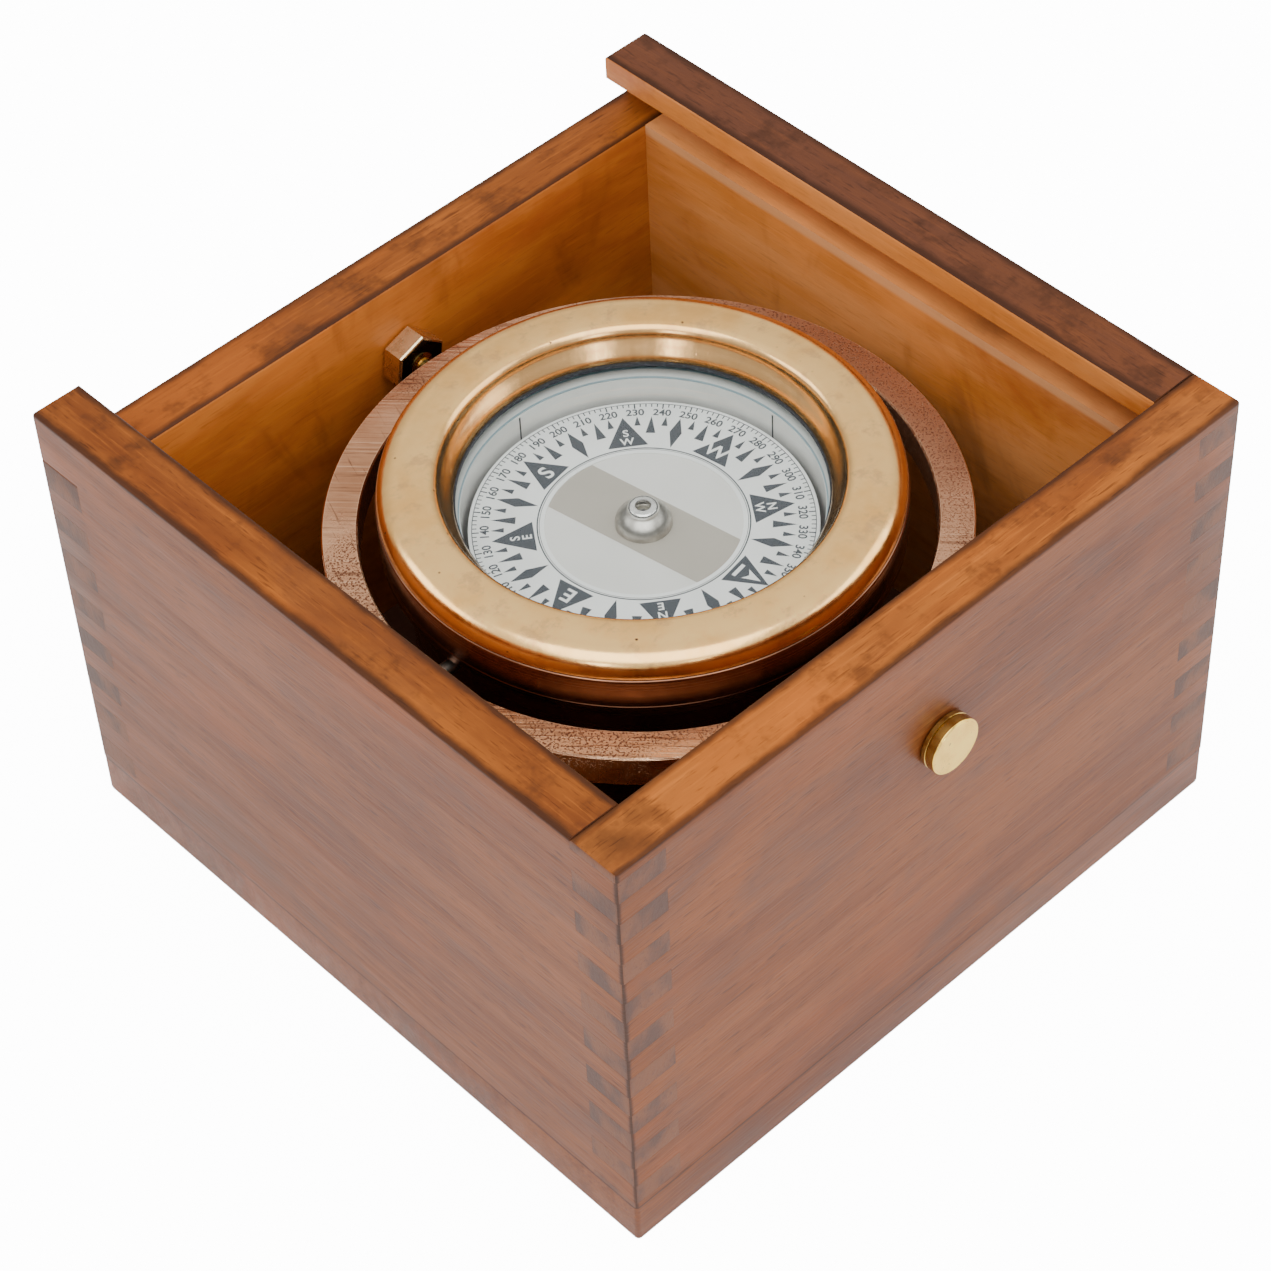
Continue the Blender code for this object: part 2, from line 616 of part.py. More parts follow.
def make_card(spin):
    """Card, float dome, cap, jewel and magnets, drawn with north along +X."""
    under = CARD_TOP - CARD_T
    turned("card_disc", ring_profile(WINDOW_R, CARD_R, under, CARD_TOP), "card_white",
           parent=spin)
    turned("card_window", ring_profile(DOME_R + GAP, WINDOW_R + 1.5 * MM, under - 0.6 * MM,
                                       under - 0.2 * MM), "card_white", parent=spin, steps=36)
    dome = [(DOME_R, 88.9 * MM)]
    dome += [(5.3 * MM, 89.6 * MM), (4.6 * MM, 90.6 * MM), (4.2 * MM, 91.8 * MM)]
    dome += [(4.2 * MM, 92.3 * MM), (2.4 * MM, 92.3 * MM), (2.4 * MM, 91.7 * MM)]
    dome += [(3.6 * MM, 91.5 * MM), (4.0 * MM, 90.3 * MM), (4.7 * MM, 89.2 * MM)]
    dome += [(5.4 * MM, 88.3 * MM), (5.4 * MM, 87.9 * MM), (DOME_R, 87.9 * MM)]
    top_first = dome[4:5] + dome[3::-1] + dome[:4:-1]
    turned("float_dome", top_first, "tinned_metal", parent=spin, steps=24)
    turned("dome_cap", [
        (1.3 * MM, CAP_TOP), (CAP_R - 0.7 * MM, CAP_TOP), (CAP_R, CAP_TOP - 0.6 * MM),
        (CAP_R, 92.6 * MM), (1.3 * MM, 92.6 * MM)], "tinned_metal", parent=spin, steps=24)
    turned("jewel_cup", [
        (2.0 * MM, 92.3 * MM), (2.0 * MM, 90.4 * MM), (1.5 * MM, 90.4 * MM),
        (1.5 * MM, 91.9 * MM), (0.9 * MM, 91.9 * MM), (0.9 * MM, 92.3 * MM)],
        "tinned_metal", parent=spin, steps=16)
    turned("jewel", [(0, 91.7 * MM), (1.1 * MM, 91.7 * MM), (1.1 * MM, 91.0 * MM),
                     (0.85 * MM, 91.0 * MM), (0, 91.5 * MM)],
           "sapphire", parent=spin, steps=16, closed=False)
    make_magnets(spin)


def make_magnets(spin):
    half_l, half_w = MAGNET_CASE_L / 2, MAGNET_CASE_W / 2
    top = MAGNET_CASE_TOP
    low = top - MAGNET_CASE_T
    skin = 0.6 * MM
    sink = 2 * MM
    case = add_object("magnet_case", block_mesh("magnet_case", [
        ((-half_l, -half_w, low), (half_l, half_w, top))]), "tinned_metal", parent=spin)
    inside_l, inside_w = half_l - skin, half_w - skin
    wall = 0.6 * MM
    hub = CARD_HOLE_R + wall
    cutters = [((-inside_l, -inside_w, low - sink), (-hub, inside_w, top - skin)),
               ((hub, -inside_w, low - sink), (inside_l, inside_w, top - skin))]
    for number, block in enumerate(cutters, 1):
        cut_with_parent(case, block_mesh(f"magnet_pocket_{number}", [block]), spin)
    hole = rod_mesh("magnet_case_hole", CARD_HOLE_R, (0, 0, low - sink), (0, 0, top + sink),
                    steps=20)
    cut_with_parent(case, hole, spin)
    plate = add_object("magnet_cover", block_mesh("magnet_cover", [
        ((-half_l, -half_w, low - GAP - skin), (half_l, half_w, low - GAP))]),
        "tinned_metal", parent=spin)
    hole = rod_mesh("magnet_cover_hole", CARD_HOLE_R, (0, 0, low - sink), (0, 0, top + sink),
                    steps=20)
    cut_with_parent(plate, hole, spin)
    bar_l, bar_w = inside_l - hub - 2 * GAP, 5.0 * MM
    for number, (end, side) in enumerate(((-1, -1), (-1, 1), (1, -1), (1, 1)), 1):
        x = sorted((end * (hub + GAP), end * (hub + GAP + bar_l)))
        y = sorted((side * 1.2 * MM, side * (1.2 * MM + bar_w)))
        add_object(f"magnet_bar_{number}", block_mesh(f"magnet_bar_{number}", [
            ((x[0], y[0], low + GAP), (x[1], y[1], top - skin - GAP))]),
            "dark_steel", parent=spin)


def cut_with_parent(piece, cutter_mesh, parent):
    """Cut with a cutter that shares the piece's parent axis."""
    cut(piece, cutter_mesh)
    bpy.data.objects[cutter_mesh.name].parent = parent


def shade_round_pieces():
    for item in PARTS.objects:
        if item.type == "MESH":
            item.data.shade_smooth()
            item.data.set_sharp_from_angle(angle=math.radians(30))


make_box()
make_box_pivot("front", -1, FRONT_NUT_T, RING_Y - RING_R)
make_box_pivot("back", 1, BACK_NUT_T, RING_Y + RING_R)

ring_axis = add_empty("gimbal_ring_axis", (0, 0, PIVOT_Z))
make_gimbal_ring(ring_axis)
make_bowl_pins(ring_axis)

bowl_axis = add_empty("bowl_axis", (0, RING_Y, PIVOT_Z))
bowl_body = make_bowl_body(bowl_axis)
make_bezel(bowl_axis)
make_bowl_fittings(bowl_axis)
make_bowl_bottom(bowl_axis, bowl_body)
make_filler_plug(bowl_body)

card_axis = add_empty("card_axis", (BOWL_X, BOWL_Y, 0), NORTH)
make_card(card_axis)
shade_round_pieces()
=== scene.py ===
"""Looks of the boxed marine compass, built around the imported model.

Every length is in metres, in the model's own frame: +Z up, origin at the bottom
centre of the box, front wall towards -Y.
"""
import json
import math

import bmesh
import bpy
from mathutils import Matrix, Vector


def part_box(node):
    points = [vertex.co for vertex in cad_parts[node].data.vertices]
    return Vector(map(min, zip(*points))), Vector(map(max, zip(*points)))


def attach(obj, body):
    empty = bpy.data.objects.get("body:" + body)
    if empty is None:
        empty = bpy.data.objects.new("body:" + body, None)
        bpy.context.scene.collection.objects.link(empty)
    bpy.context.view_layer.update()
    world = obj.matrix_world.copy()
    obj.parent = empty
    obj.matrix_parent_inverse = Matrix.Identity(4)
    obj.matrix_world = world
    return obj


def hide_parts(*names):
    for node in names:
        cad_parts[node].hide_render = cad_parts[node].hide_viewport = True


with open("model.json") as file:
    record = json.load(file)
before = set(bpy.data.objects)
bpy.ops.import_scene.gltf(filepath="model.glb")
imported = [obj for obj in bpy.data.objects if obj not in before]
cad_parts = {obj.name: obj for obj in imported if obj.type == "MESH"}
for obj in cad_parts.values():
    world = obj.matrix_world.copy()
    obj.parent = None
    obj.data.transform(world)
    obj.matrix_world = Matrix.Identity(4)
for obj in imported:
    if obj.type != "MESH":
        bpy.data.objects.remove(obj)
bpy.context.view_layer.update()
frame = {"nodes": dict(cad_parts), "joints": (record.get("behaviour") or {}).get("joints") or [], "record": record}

MM = 0.001
SOCKET = bpy.types.NodeSocket

# Places read from the frame
BASE_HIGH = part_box("base_board")[1]
RIGHT_LOW, RIGHT_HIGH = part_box("right_wall")
RING_LOW, RING_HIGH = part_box("gimbal_ring")
BODY_LOW, BODY_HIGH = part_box("bowl_body")
BEZEL_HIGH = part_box("bezel_ring")[1]
GLASS_LOW, GLASS_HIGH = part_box("cover_glass")
CARD_LOW, CARD_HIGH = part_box("card_disc")
JOINTS = {joint["name"]: joint for joint in frame["joints"]}
PIVOT = Vector(JOINTS["gimbal_roll"]["pos_m"])

# The box
HALF = BASE_HIGH.x
WALL = RIGHT_HIGH.x - RIGHT_LOW.x
INNER = HALF - WALL
BOX_TOP = RIGHT_HIGH.z
BASE_TOP = 12.0 * MM
BACK_TOP = 107.0 * MM                # the lid would slide in over this wall
FINGER = 6.1 * MM
FIRST_FINGER = 13.6 * MM
FRONT_FINGERS = 9
BACK_FINGERS = 8
GROOVE_H = 6.7 * MM
GROOVE_DEPTH = 6.2 * MM
PIVOT_HOLE_R = 3.3 * MM
SEAM = 0.04 * MM                     # glued joints are this wide
ARRIS = 0.8 * MM
OVER = 5.0 * MM                      # how far a cutter passes the face it cuts

# Ring and bowl
RING_C = Vector((0, (RING_LOW.y + RING_HIGH.y) / 2, 0))
BOWL_C = Vector(((BODY_LOW.x + BODY_HIGH.x) / 2, (BODY_LOW.y + BODY_HIGH.y) / 2, 0))
RING_R = (RING_HIGH.x - RING_LOW.x) / 2
RING_BORE = 61.9 * MM
SKIRT_R = 56.5 * MM
SKIRT_LOW = 90.1 * MM
SKIRT_LINE = 93.0 * MM
BOWL_R = 51.0 * MM
BEZEL_R = 56.2 * MM
LIP_R = 40.0 * MM                    # bore of the bezel, where the gasket shows
LIP = 98.7 * MM                      # its under side

LINER_R = 38.9 * MM
GLASS_R = 45.4 * MM

# Card
NORTH = math.radians(-80.5)          # where the card's north points at rest
CARD_R = 37.6 * MM
TICK_R = 36.7 * MM
FIGURE_R = 33.95 * MM
FIGURE_SIZE = 2.70 * MM
POINT_TIP = 32.7 * MM                # the eight lettered triangles
POINT_FOOT = 23.5 * MM
CARD_TOP = CARD_HIGH.z
WINDOW_R = 21.3 * MM
BAND_HALF = 7.75 * MM
DOME_TOP = 93.1 * MM


# ---- materials

class Shade:
    """A small builder for a procedural material."""

    def __init__(self, name, **settings):
        self.material = bpy.data.materials.new(name)
        self.material.use_nodes = True
        self.tree = self.material.node_tree
        self.shader = self.tree.nodes["Principled BSDF"]
        self.place = self.add("TexCoord").outputs["Object"]
        self.split = None
        for socket, value in settings.items():
            self.shader.inputs[socket.replace("_", " ")].default_value = value

    def add(self, kind, inputs=None, **props):
        """A node with its inputs linked or set."""
        node = self.tree.nodes.new("ShaderNode" + kind)
        for key, value in props.items():
            setattr(node, key, value)
        for key, value in (inputs or {}).items():
            if isinstance(value, SOCKET):
                self.tree.links.new(value, node.inputs[key])
            else:
                node.inputs[key].default_value = value
        return node

    def axis(self, index):
        """One coordinate of the shaded point."""
        if self.split is None:
            self.split = self.add("SeparateXYZ", {0: self.place})
        return self.split.outputs[index]

    def scaled(self, scale, turn=(0, 0, 0), shift=(0, 0, 0)):
        """The shaded point, turned first and then stretched along each axis."""
        turned = self.add("Mapping", {"Vector": self.place, "Rotation": turn})
        node = self.add("Mapping", {"Vector": turned.outputs[0], "Scale": scale,
                                    "Location": shift})
        return node.outputs[0]

    def noise(self, scale, detail=3.0, rough=0.5, turn=(0, 0, 0), shift=(0, 0, 0), bend=0.0):
        """Noise whose grain along each axis is set by scale, in cells per metre."""
        if not isinstance(scale, tuple):
            scale = (scale,) * 3
        node = self.add("TexNoise", {"Vector": self.scaled(scale, turn, shift), "Scale": 1.0,
                                     "Detail": detail, "Roughness": rough, "Distortion": bend})
        return node.outputs["Fac"]

    def cells(self, scale):
        """Distance to the nearest of many scattered points."""
        spots = self.scaled((scale,) * 3)
        return self.add("TexVoronoi", {"Vector": spots, "Scale": 1.0}).outputs["Distance"]

    def math(self, how, a, b=0.0):
        return self.add("Math", {0: a, 1: b}, operation=how).outputs[0]

    def plus(self, a, b):
        return self.math("ADD", a, b)

    def times(self, a, b):
        return self.math("MULTIPLY", a, b)

    def most(self, a, b):
        return self.math("MAXIMUM", a, b)

    def fade(self, value, start, end):
        """0 at start, 1 at end, smooth between."""
        node = self.add("MapRange", {"Value": value, "From Min": start, "From Max": end},
                        interpolation_type="SMOOTHSTEP", clamp=True)
        return node.outputs["Result"]

    def mix(self, a, b, share, most=None):
        """Colour a turning into b, by the share or by at most that much of it."""
        if most is not None:
            share = self.times(share, most)
        inputs = {"Fac": share, "Color1": colour(a), "Color2": colour(b)}
        return self.add("MixRGB", inputs).outputs[0]

    def radius(self, centre, angle_too=False):
        """Distance from an upright axis, with the angle about it when asked."""
        x = self.math("SUBTRACT", self.axis(0), centre.x)
        y = self.math("SUBTRACT", self.axis(1), centre.y)
        square = self.plus(self.times(x, x), self.times(y, y))
        r = self.math("SQRT", square)
        if angle_too:
            return r, self.math("ARCTAN2", y, x)
        return r

    def rings(self, centre, per_metre):
        """Noise that only changes with the distance from an upright axis."""
        along = self.times(self.radius(centre), per_metre)
        high = self.times(self.axis(2), per_metre)
        spot = self.add("CombineXYZ", {0: along, 1: high})
        return self.add("TexNoise", {"Vector": spot.outputs[0], "Scale": 1.0,
                                     "Detail": 2.0}).outputs["Fac"]

    def bump(self, height, depth, strength, over=None):
        """A normal from heights, laid over another normal when one is given."""
        inputs = {"Height": height, "Distance": depth, "Strength": strength}
        if over is not None:
            inputs["Normal"] = over
        return self.add("Bump", inputs).outputs[0]

    def set(self, **sockets):
        """Fill the shader's own sockets and hand the material back."""
        for key, value in sockets.items():
            key = key.replace("_", " ")
            if isinstance(value, SOCKET):
                self.tree.links.new(value, self.shader.inputs[key])
            else:
                self.shader.inputs[key].default_value = value
        return self.material


def colour(value):
    """An RGBA default for a plain triple, or the socket itself."""
    if isinstance(value, SOCKET) or len(value) == 4:
        return value
    return (*value, 1.0)


def wood(name, along, pale, deep, stain, seed, gloss=0.36, shine=0.18, coat=0.03,
         stains=None, streak=0.55, worn=None, grain=1.0):
    """Varnished wood.  `along` is the grain's axis; `darkening` adds a dark stain tone where it
    returns 1: real stain on the outer faces and tops, painted shade low on the inner faces.
    `worn` is the height of an edge rubbed pale from below, and `grain` is how
    strongly the pores show."""
    shade = Shade(name, Roughness=gloss, Coat_Weight=coat, Coat_Roughness=0.25,
                  Specular_IOR_Level=shine)
    shift = (seed * 3.1, seed * 1.7, seed * 2.3)

    def stretched(across, with_grain):
        return tuple(with_grain if i == along else across for i in range(3))

    broad = shade.noise(stretched(30, 9), 4, 0.6, shift=shift, bend=0.8)
    figure = shade.noise(stretched(210, 10), 4, 0.65, shift=shift, bend=0.5)
    fine = shade.noise(stretched(1100, 45), 3, 0.65, shift=shift)
    flecks = shade.noise(stretched(1900, 210), 2, 0.5, shift=shift)
    pores = shade.noise(stretched(1500, 120), 1, 0.5, shift=(seed, 4.0, 2.0))
    base = shade.mix(pale, deep, shade.fade(broad, 0.34, 0.68))
    base = shade.mix(base, deep, shade.fade(figure, 0.45, 0.70), streak)
    light = tuple(min(1.0, c * 1.35) for c in pale)
    base = shade.mix(base, light, shade.fade(fine, 0.50, 0.74), 0.50 * grain)
    dark = tuple(c * 0.40 for c in deep)
    base = shade.mix(base, dark, shade.fade(flecks, 0.58, 0.72), 0.50 * grain)
    base = shade.mix(base, dark, shade.fade(pores, 0.66, 0.74), 0.60 * grain)
    blot = shade.noise(stretched(34, 20), 5, 0.66, shift=(seed + 5.0, seed, 1.0), bend=0.5)
    base = shade.mix(base, stain, shade.fade(blot, 0.50, 0.70), 0.55)
    warm = shade.noise(stretched(42, 16), 4, 0.6, shift=(seed, 8.0, seed))
    glow = tuple(min(1.0, c * k) for c, k in zip(pale, (1.22, 1.05, 0.80)))
    base = shade.mix(base, glow, shade.fade(warm, 0.54, 0.72), 0.50)
    # darkening towards the stain's dark tone: real stain, or painted shade low on the inner faces
    if stains is not None:
        base = shade.mix(base, tuple(c * 0.34 for c in stain), stains(shade))
    if worn is not None:
        ragged = shade.times(broad, 1.6 * MM)
        high = shade.plus(shade.axis(2), ragged)
        rubbed = shade.times(shade.fade(high, worn - 2.4 * MM, worn - 1.0 * MM),
                            shade.fade(shade.axis(2), worn + 0.1 * MM, worn - 0.2 * MM))
        base = shade.mix(base, (0.62, 0.34, 0.17), rubbed, 0.55)
    rough = shade.plus(shade.times(figure, 0.24), gloss - 0.10)
    height = shade.plus(shade.times(figure, 0.5), shade.times(flecks, -0.40))
    height = shade.plus(height, shade.times(pores, -0.35))
    normal = shade.bump(height, 0.00018, 0.5)
    wave = shade.noise(30, 2, 0.5, shift=shift)
    normal = shade.bump(wave, 0.0007, 0.18, normal)
    return shade.set(Base_Color=base, Roughness=rough, Normal=normal)


def edge_stain(shade, terms, reach, seed):
    """Stain that gathers near edges: terms are (axis, place) pairs."""
    ragged = shade.noise(70, 4, 0.6, shift=(seed, 0, 0))
    total = None
    for axis, place in terms:
        gap = shade.math("ABSOLUTE", shade.math("SUBTRACT", shade.axis(axis), place))
        gap = shade.math("SUBTRACT", gap, shade.times(ragged, reach * 1.1))
        near = shade.fade(gap, reach * 0.45, -reach * 0.35)
        total = near if total is None else shade.most(total, near)
    return shade.times(total, 0.85)


# Outside faces
PINK_BROWN = (0.176, 0.048, 0.009)
DEEP_BROWN = (0.105, 0.028, 0.008)
GREY_VIOLET = (0.085, 0.036, 0.022)
# Inside faces
AMBER = (0.460, 0.145, 0.024)
DEEP_AMBER = (0.300, 0.072, 0.009)
PALE_AMBER = (0.600, 0.240, 0.072)
RED_AMBER = (0.260, 0.050, 0.007)
# Top edges
DARK_STAIN = (0.095, 0.032, 0.013)
FRONT_TONES = ((0.370, 0.112, 0.018), (0.190, 0.048, 0.008))
SIDE_TONES = ((0.270, 0.076, 0.011), (0.130, 0.032, 0.006))
RIGHT_TONES = ((0.120, 0.037, 0.013), (0.085, 0.030, 0.016))


def outer_wood(name, along, seed, corner_axis):
    """Outside face, darker towards its corners and its top edge."""
    def stains(shade):
        return edge_stain(shade, [(corner_axis, -HALF), (corner_axis, HALF), (2, BOX_TOP)],
                          1.3 * MM, seed)

    return wood(name, along, PINK_BROWN, DEEP_BROWN, GREY_VIOLET, seed, stains=stains)


def end_grain(name, seed):
    """Darker wood where the fingers show their ends."""
    shade = Shade(name, Roughness=0.5, Specular_IOR_Level=0.3)
    spots = shade.noise((1500, 1500, 900), 3, 0.6, shift=(seed, 0, 0))
    tone = shade.noise((120, 120, 80), 3, 0.5, shift=(seed, 2, 0))
    base = shade.mix((0.070, 0.029, 0.018), (0.140, 0.048, 0.019), shade.fade(tone, 0.38, 0.62))
    base = shade.mix(base, (0.05, 0.022, 0.016), shade.fade(spots, 0.55, 0.72), 0.5)
    return shade.set(Base_Color=base, Normal=shade.bump(spots, 0.0002, 0.4))


def top_wood(name, along, seed, edges, tones=FRONT_TONES):
    """Top edge: dark arrises, clouds of old varnish and a dark patch at one corner."""
    def stains(shade):
        edge = edge_stain(shade, edges, 2.6 * MM, seed)
        cloud = shade.noise(95, 4, 0.65, shift=(seed, 6.0, 0.0))
        blots = shade.times(shade.fade(cloud, 0.50, 0.68), 0.50)
        near = shade.radius(Vector((-HALF + 7 * MM, -HALF + 4 * MM, 0)))
        near = shade.plus(near, shade.times(cloud, 0.020))
        corner = shade.times(shade.fade(near, 0.024, 0.009), 0.75)
        return shade.most(edge, shade.most(blots, corner))

    return wood(name, along, *tones, DARK_STAIN, seed, gloss=0.50, shine=0.12, coat=0.0,
                stains=stains, streak=0.65)


def inner_wood(name, along, seed, pale=AMBER, deep=DEEP_AMBER, worn=None):
    """Amber varnish that darkens to red low down as painted shade, and shows pale scuffs."""
    def stains(shade):
        ragged = shade.times(shade.noise((40, 40, 30), 3, 0.6), 0.02)
        # painted shade: the inner faces darken towards the bottom of the box
        low = shade.fade(shade.plus(shade.axis(2), ragged), 0.092, 0.040)
        red = shade.noise((46, 46, 16), 4, 0.6, shift=(seed, 1.0, 3.0), bend=0.7)
        red = shade.times(shade.fade(red, 0.54, 0.68), 0.34)
        return shade.most(shade.times(low, 0.45), red)

    return wood(name, along, pale, deep, RED_AMBER, seed, gloss=0.40, shine=0.26,
                coat=0.06, stains=stains, streak=0.24, worn=worn, grain=0.40)


# ---- mesh helpers

def add_object(name, data):
    item = bpy.data.objects.new(name, data)
    bpy.context.scene.collection.objects.link(item)
    return item


def to_mesh(shape, name):
    """The finished mesh of a shape that is no longer needed."""
    mesh = bpy.data.meshes.new(name)
    shape.to_mesh(mesh)
    shape.free()
    return mesh


def link(name, mesh, body, replaced=None, look=None):
    """Put a finished mesh in the scene as a piece of one body, in the given look."""
    if look is not None:
        mesh.materials.append(look)
    piece = add_object(name, mesh)
    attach(piece, body)
    if replaced:
        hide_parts(replaced)


def smooth(mesh, degrees=32):
    """Smooth shading that stays sharp at edges steeper than this."""
    mesh.shade_smooth()
    mesh.set_sharp_from_angle(angle=math.radians(degrees))


def arc(centre, radius, start, end, steps, squash=1.0):
    """Points of an arc in degrees, for a profile; squash flattens it."""
    points = []
    for i in range(steps + 1):
        angle = math.radians(start + (end - start) * i / steps)
        points.append((centre[0] + radius * math.cos(angle),
                       centre[1] + radius * squash * math.sin(angle)))
    return points


def lathe(name, profile, centre, steps=160, closed=True, turn=None):
    """A turned mesh about an upright axis.  The profile runs down its outer side."""
    shape = bmesh.new()
    columns = []
    for i in range(steps):
        angle = 2 * math.pi * i / steps
        column = []
        for radius, height in profile:
            spot = Vector((radius * math.cos(angle), radius * math.sin(angle), height))
            column.append(shape.verts.new(spot))
        columns.append(column)
    count = len(profile)
    last = count if closed else count - 1
    for i in range(steps):
        here, there = columns[i], columns[(i + 1) % steps]
        for j in range(last):
            k = (j + 1) % count
            shape.faces.new((here[j], here[k], there[k], there[j]))
    bmesh.ops.remove_doubles(shape, verts=shape.verts, dist=1e-7)
    bmesh.ops.dissolve_degenerate(shape, edges=shape.edges, dist=1e-8)
    bmesh.ops.recalc_face_normals(shape, faces=shape.faces)
    if turn is not None:
        shape.transform(turn)
    shape.transform(Matrix.Translation(centre))
    mesh = to_mesh(shape, name)
    smooth(mesh)
    return mesh


def blocks(name, boxes):
    """One mesh of boxes, each given by two corners."""
    shape = bmesh.new()
    for low, high in boxes:
        made = bmesh.ops.create_cube(shape, size=1.0)["verts"]
        bmesh.ops.scale(shape, vec=[b - a for a, b in zip(low, high)], verts=made)
        bmesh.ops.translate(shape, vec=[(a + b) / 2 for a, b in zip(low, high)], verts=made)
    return to_mesh(shape, name)


def rod(name, radius, start, end, steps=32):
    """A capped cylinder between two points."""
    start, end = Vector(start), Vector(end)
    axis = end - start
    turn = Vector((0, 0, 1)).rotation_difference(axis).to_matrix().to_4x4()
    shape = bmesh.new()
    bmesh.ops.create_cone(shape, cap_ends=True, segments=steps, radius1=radius, radius2=radius,
                          depth=axis.length, matrix=Matrix.Translation((start + end) / 2) @ turn)
    return to_mesh(shape, name)


def carve(mesh, cutters):
    """The mesh with every cutter mesh taken out of it."""
    body = add_object("carving", mesh)
    tools = []
    for number, cutter in enumerate(cutters):
        tool = add_object(f"tool_{number}", cutter)
        boolean = body.modifiers.new("cut", "BOOLEAN")
        boolean.operation = "DIFFERENCE"
        boolean.solver = "EXACT"
        boolean.object = tool
        tools.append(tool)
    graph = bpy.context.evaluated_depsgraph_get()
    result = bpy.data.meshes.new_from_object(body.evaluated_get(graph))
    for item in [body, *tools]:
        bpy.data.objects.remove(item, do_unlink=True)
    return result


# ---- the box

def finger_rows(count, top=None):
    """Heights of every other finger, the last one reaching the top when it is given."""
    rows = []
    for k in range(count):
        low = FIRST_FINGER + 2 * k * FINGER
        rows.append([low, low + FINGER])
    if top is not None:
        rows[-1][1] = top
    return rows


def rows_between(rows, low, high):
    """The heights that the given rows leave free."""
    left, edge = [], low
    for start, stop in rows:
        left.append([edge, start])
        edge = stop
    if edge < high - FINGER / 4:
        left.append([edge, high])
    return left


def sockets(rows, side, end):
    """Blocks filling the given rows at one corner of the box."""
    made, far, grow = [], HALF + OVER, SEAM / 2
    for low, high in rows:
        x = sorted((side * (INNER - grow), side * far))
        y = sorted((end * (INNER - grow), end * far))
        made.append(((x[0], y[0], low - grow), (x[1], y[1], high + grow)))
    return made


def round_edges(mesh, planes, width, inner=None):
    """Round each edge that lies on two of the given (axis, place) planes.  Edges on the
    inner plane are rounded only where they meet the top."""
    shape = bmesh.new()
    shape.from_mesh(mesh)
    bmesh.ops.dissolve_limit(shape, angle_limit=0.01, verts=shape.verts, edges=shape.edges)

    def on(vert):
        return {p for p in planes if abs(vert.co[p[0]] - p[1]) < 1e-6}

    chosen = []
    for edge in shape.edges:
        shared = on(edge.verts[0]) & on(edge.verts[1])
        upright = not any(axis == 2 for axis, _ in shared)
        if len(shared) >= 2 and not (inner in shared and upright):
            chosen.append(edge)
    bmesh.ops.bevel(shape, geom=chosen, offset=width, segments=3, profile=0.5,
                    affect="EDGES", clamp_overlap=True)
    bmesh.ops.triangulate(shape, faces=[f for f in shape.faces if len(f.verts) > 4])
    shape.to_mesh(mesh)
    shape.free()


def paint_faces(mesh, choose):
    for face in mesh.polygons:
        face.material_index = choose(face.normal, face.center)


def wall_piece(name, mesh, planes, materials, choose):
    """Finish a wall whose last rounding plane is its inner face.  The materials are its
    outer face, inner face, top and finger ends, and choose picks one for each face."""
    round_edges(mesh, planes, ARRIS, inner=planes[-1])
    mesh.materials.clear()
    for material in materials:
        mesh.materials.append(material)
    paint_faces(mesh, choose)
    smooth(mesh, 40)
    link(name + "_wood", mesh, "box", name)


def pivot_hole(end):
    """The hole for a pivot screw through the front (-1) or back (1) wall."""
    return rod("hole", PIVOT_HOLE_R, (0, end * (HALF + OVER), PIVOT.z),
               (0, end * (INNER - OVER), PIVOT.z))


def make_walls():
    front_rows = finger_rows(FRONT_FINGERS)
    back_rows = finger_rows(BACK_FINGERS, BACK_TOP)
    front_gaps = rows_between(front_rows, BASE_TOP - OVER, BOX_TOP + OVER)
    back_gaps = rows_between(back_rows, BASE_TOP - OVER, BACK_TOP)
    ends = end_grain("end_grain", 1.0)
    make_front(front_rows, ends)
    make_back(back_gaps, ends)
    for side, word, tones in ((-1, "left", SIDE_TONES), (1, "right", RIGHT_TONES)):
        make_side(side, word, tones, front_gaps, back_rows, ends)
    make_base()


def make_front(rows, ends):
    low = BASE_TOP + SEAM / 2
    front = blocks("front", [((-HALF, -HALF, low), (HALF, -INNER, BOX_TOP))])
    groove = ((-INNER, -INNER - GROOVE_DEPTH, BACK_TOP),
              (INNER, -INNER + OVER, BACK_TOP + GROOVE_H))
    front = carve(front, [blocks("a", sockets(rows, -1, -1)), blocks("b", sockets(rows, 1, -1)),
                          blocks("c", [groove]), pivot_hole(-1)])
    looks = [outer_wood("front_outer", 0, 1.3, 0), inner_wood("front_inner", 0, 2.2),
             top_wood("front_top", 0, 3.4, [(1, -HALF), (1, -INNER)]), ends]

    def choose(n, c):
        if n.z > 0.5 and c.z > BOX_TOP - 2 * MM:
            return 2
        if n.y < -0.6:
            return 0
        return 1 if n.y > 0.6 or c.y > -INNER - GROOVE_DEPTH and abs(c.x) < INNER else 3

    planes = [(1, -HALF), (0, -HALF), (0, HALF), (2, BOX_TOP), (1, -INNER)]
    wall_piece("front_wall", front, planes, looks, choose)


def make_back(gaps, ends):
    low, top = BASE_TOP + SEAM / 2, BACK_TOP - SEAM / 2
    back = blocks("back", [((-HALF, INNER, low), (HALF, HALF, top))])
    back = carve(back, [blocks("a", sockets(gaps, -1, 1)), blocks("b", sockets(gaps, 1, 1)),
                        pivot_hole(1)])
    looks = [outer_wood("back_outer", 0, 4.1, 0), inner_wood("back_inner", 0, 5.6),
             top_wood("back_top", 0, 6.3, [(1, HALF), (1, INNER)], SIDE_TONES), ends]

    def choose(n, c):
        if n.z > 0.5 and c.z > BACK_TOP - 2 * MM:
            return 2
        if n.y > 0.6:
            return 0
        return 1 if n.y < -0.6 else 3

    planes = [(1, HALF), (0, -HALF), (0, HALF), (2, top), (1, INNER)]
    wall_piece("back_wall", back, planes, looks, choose)


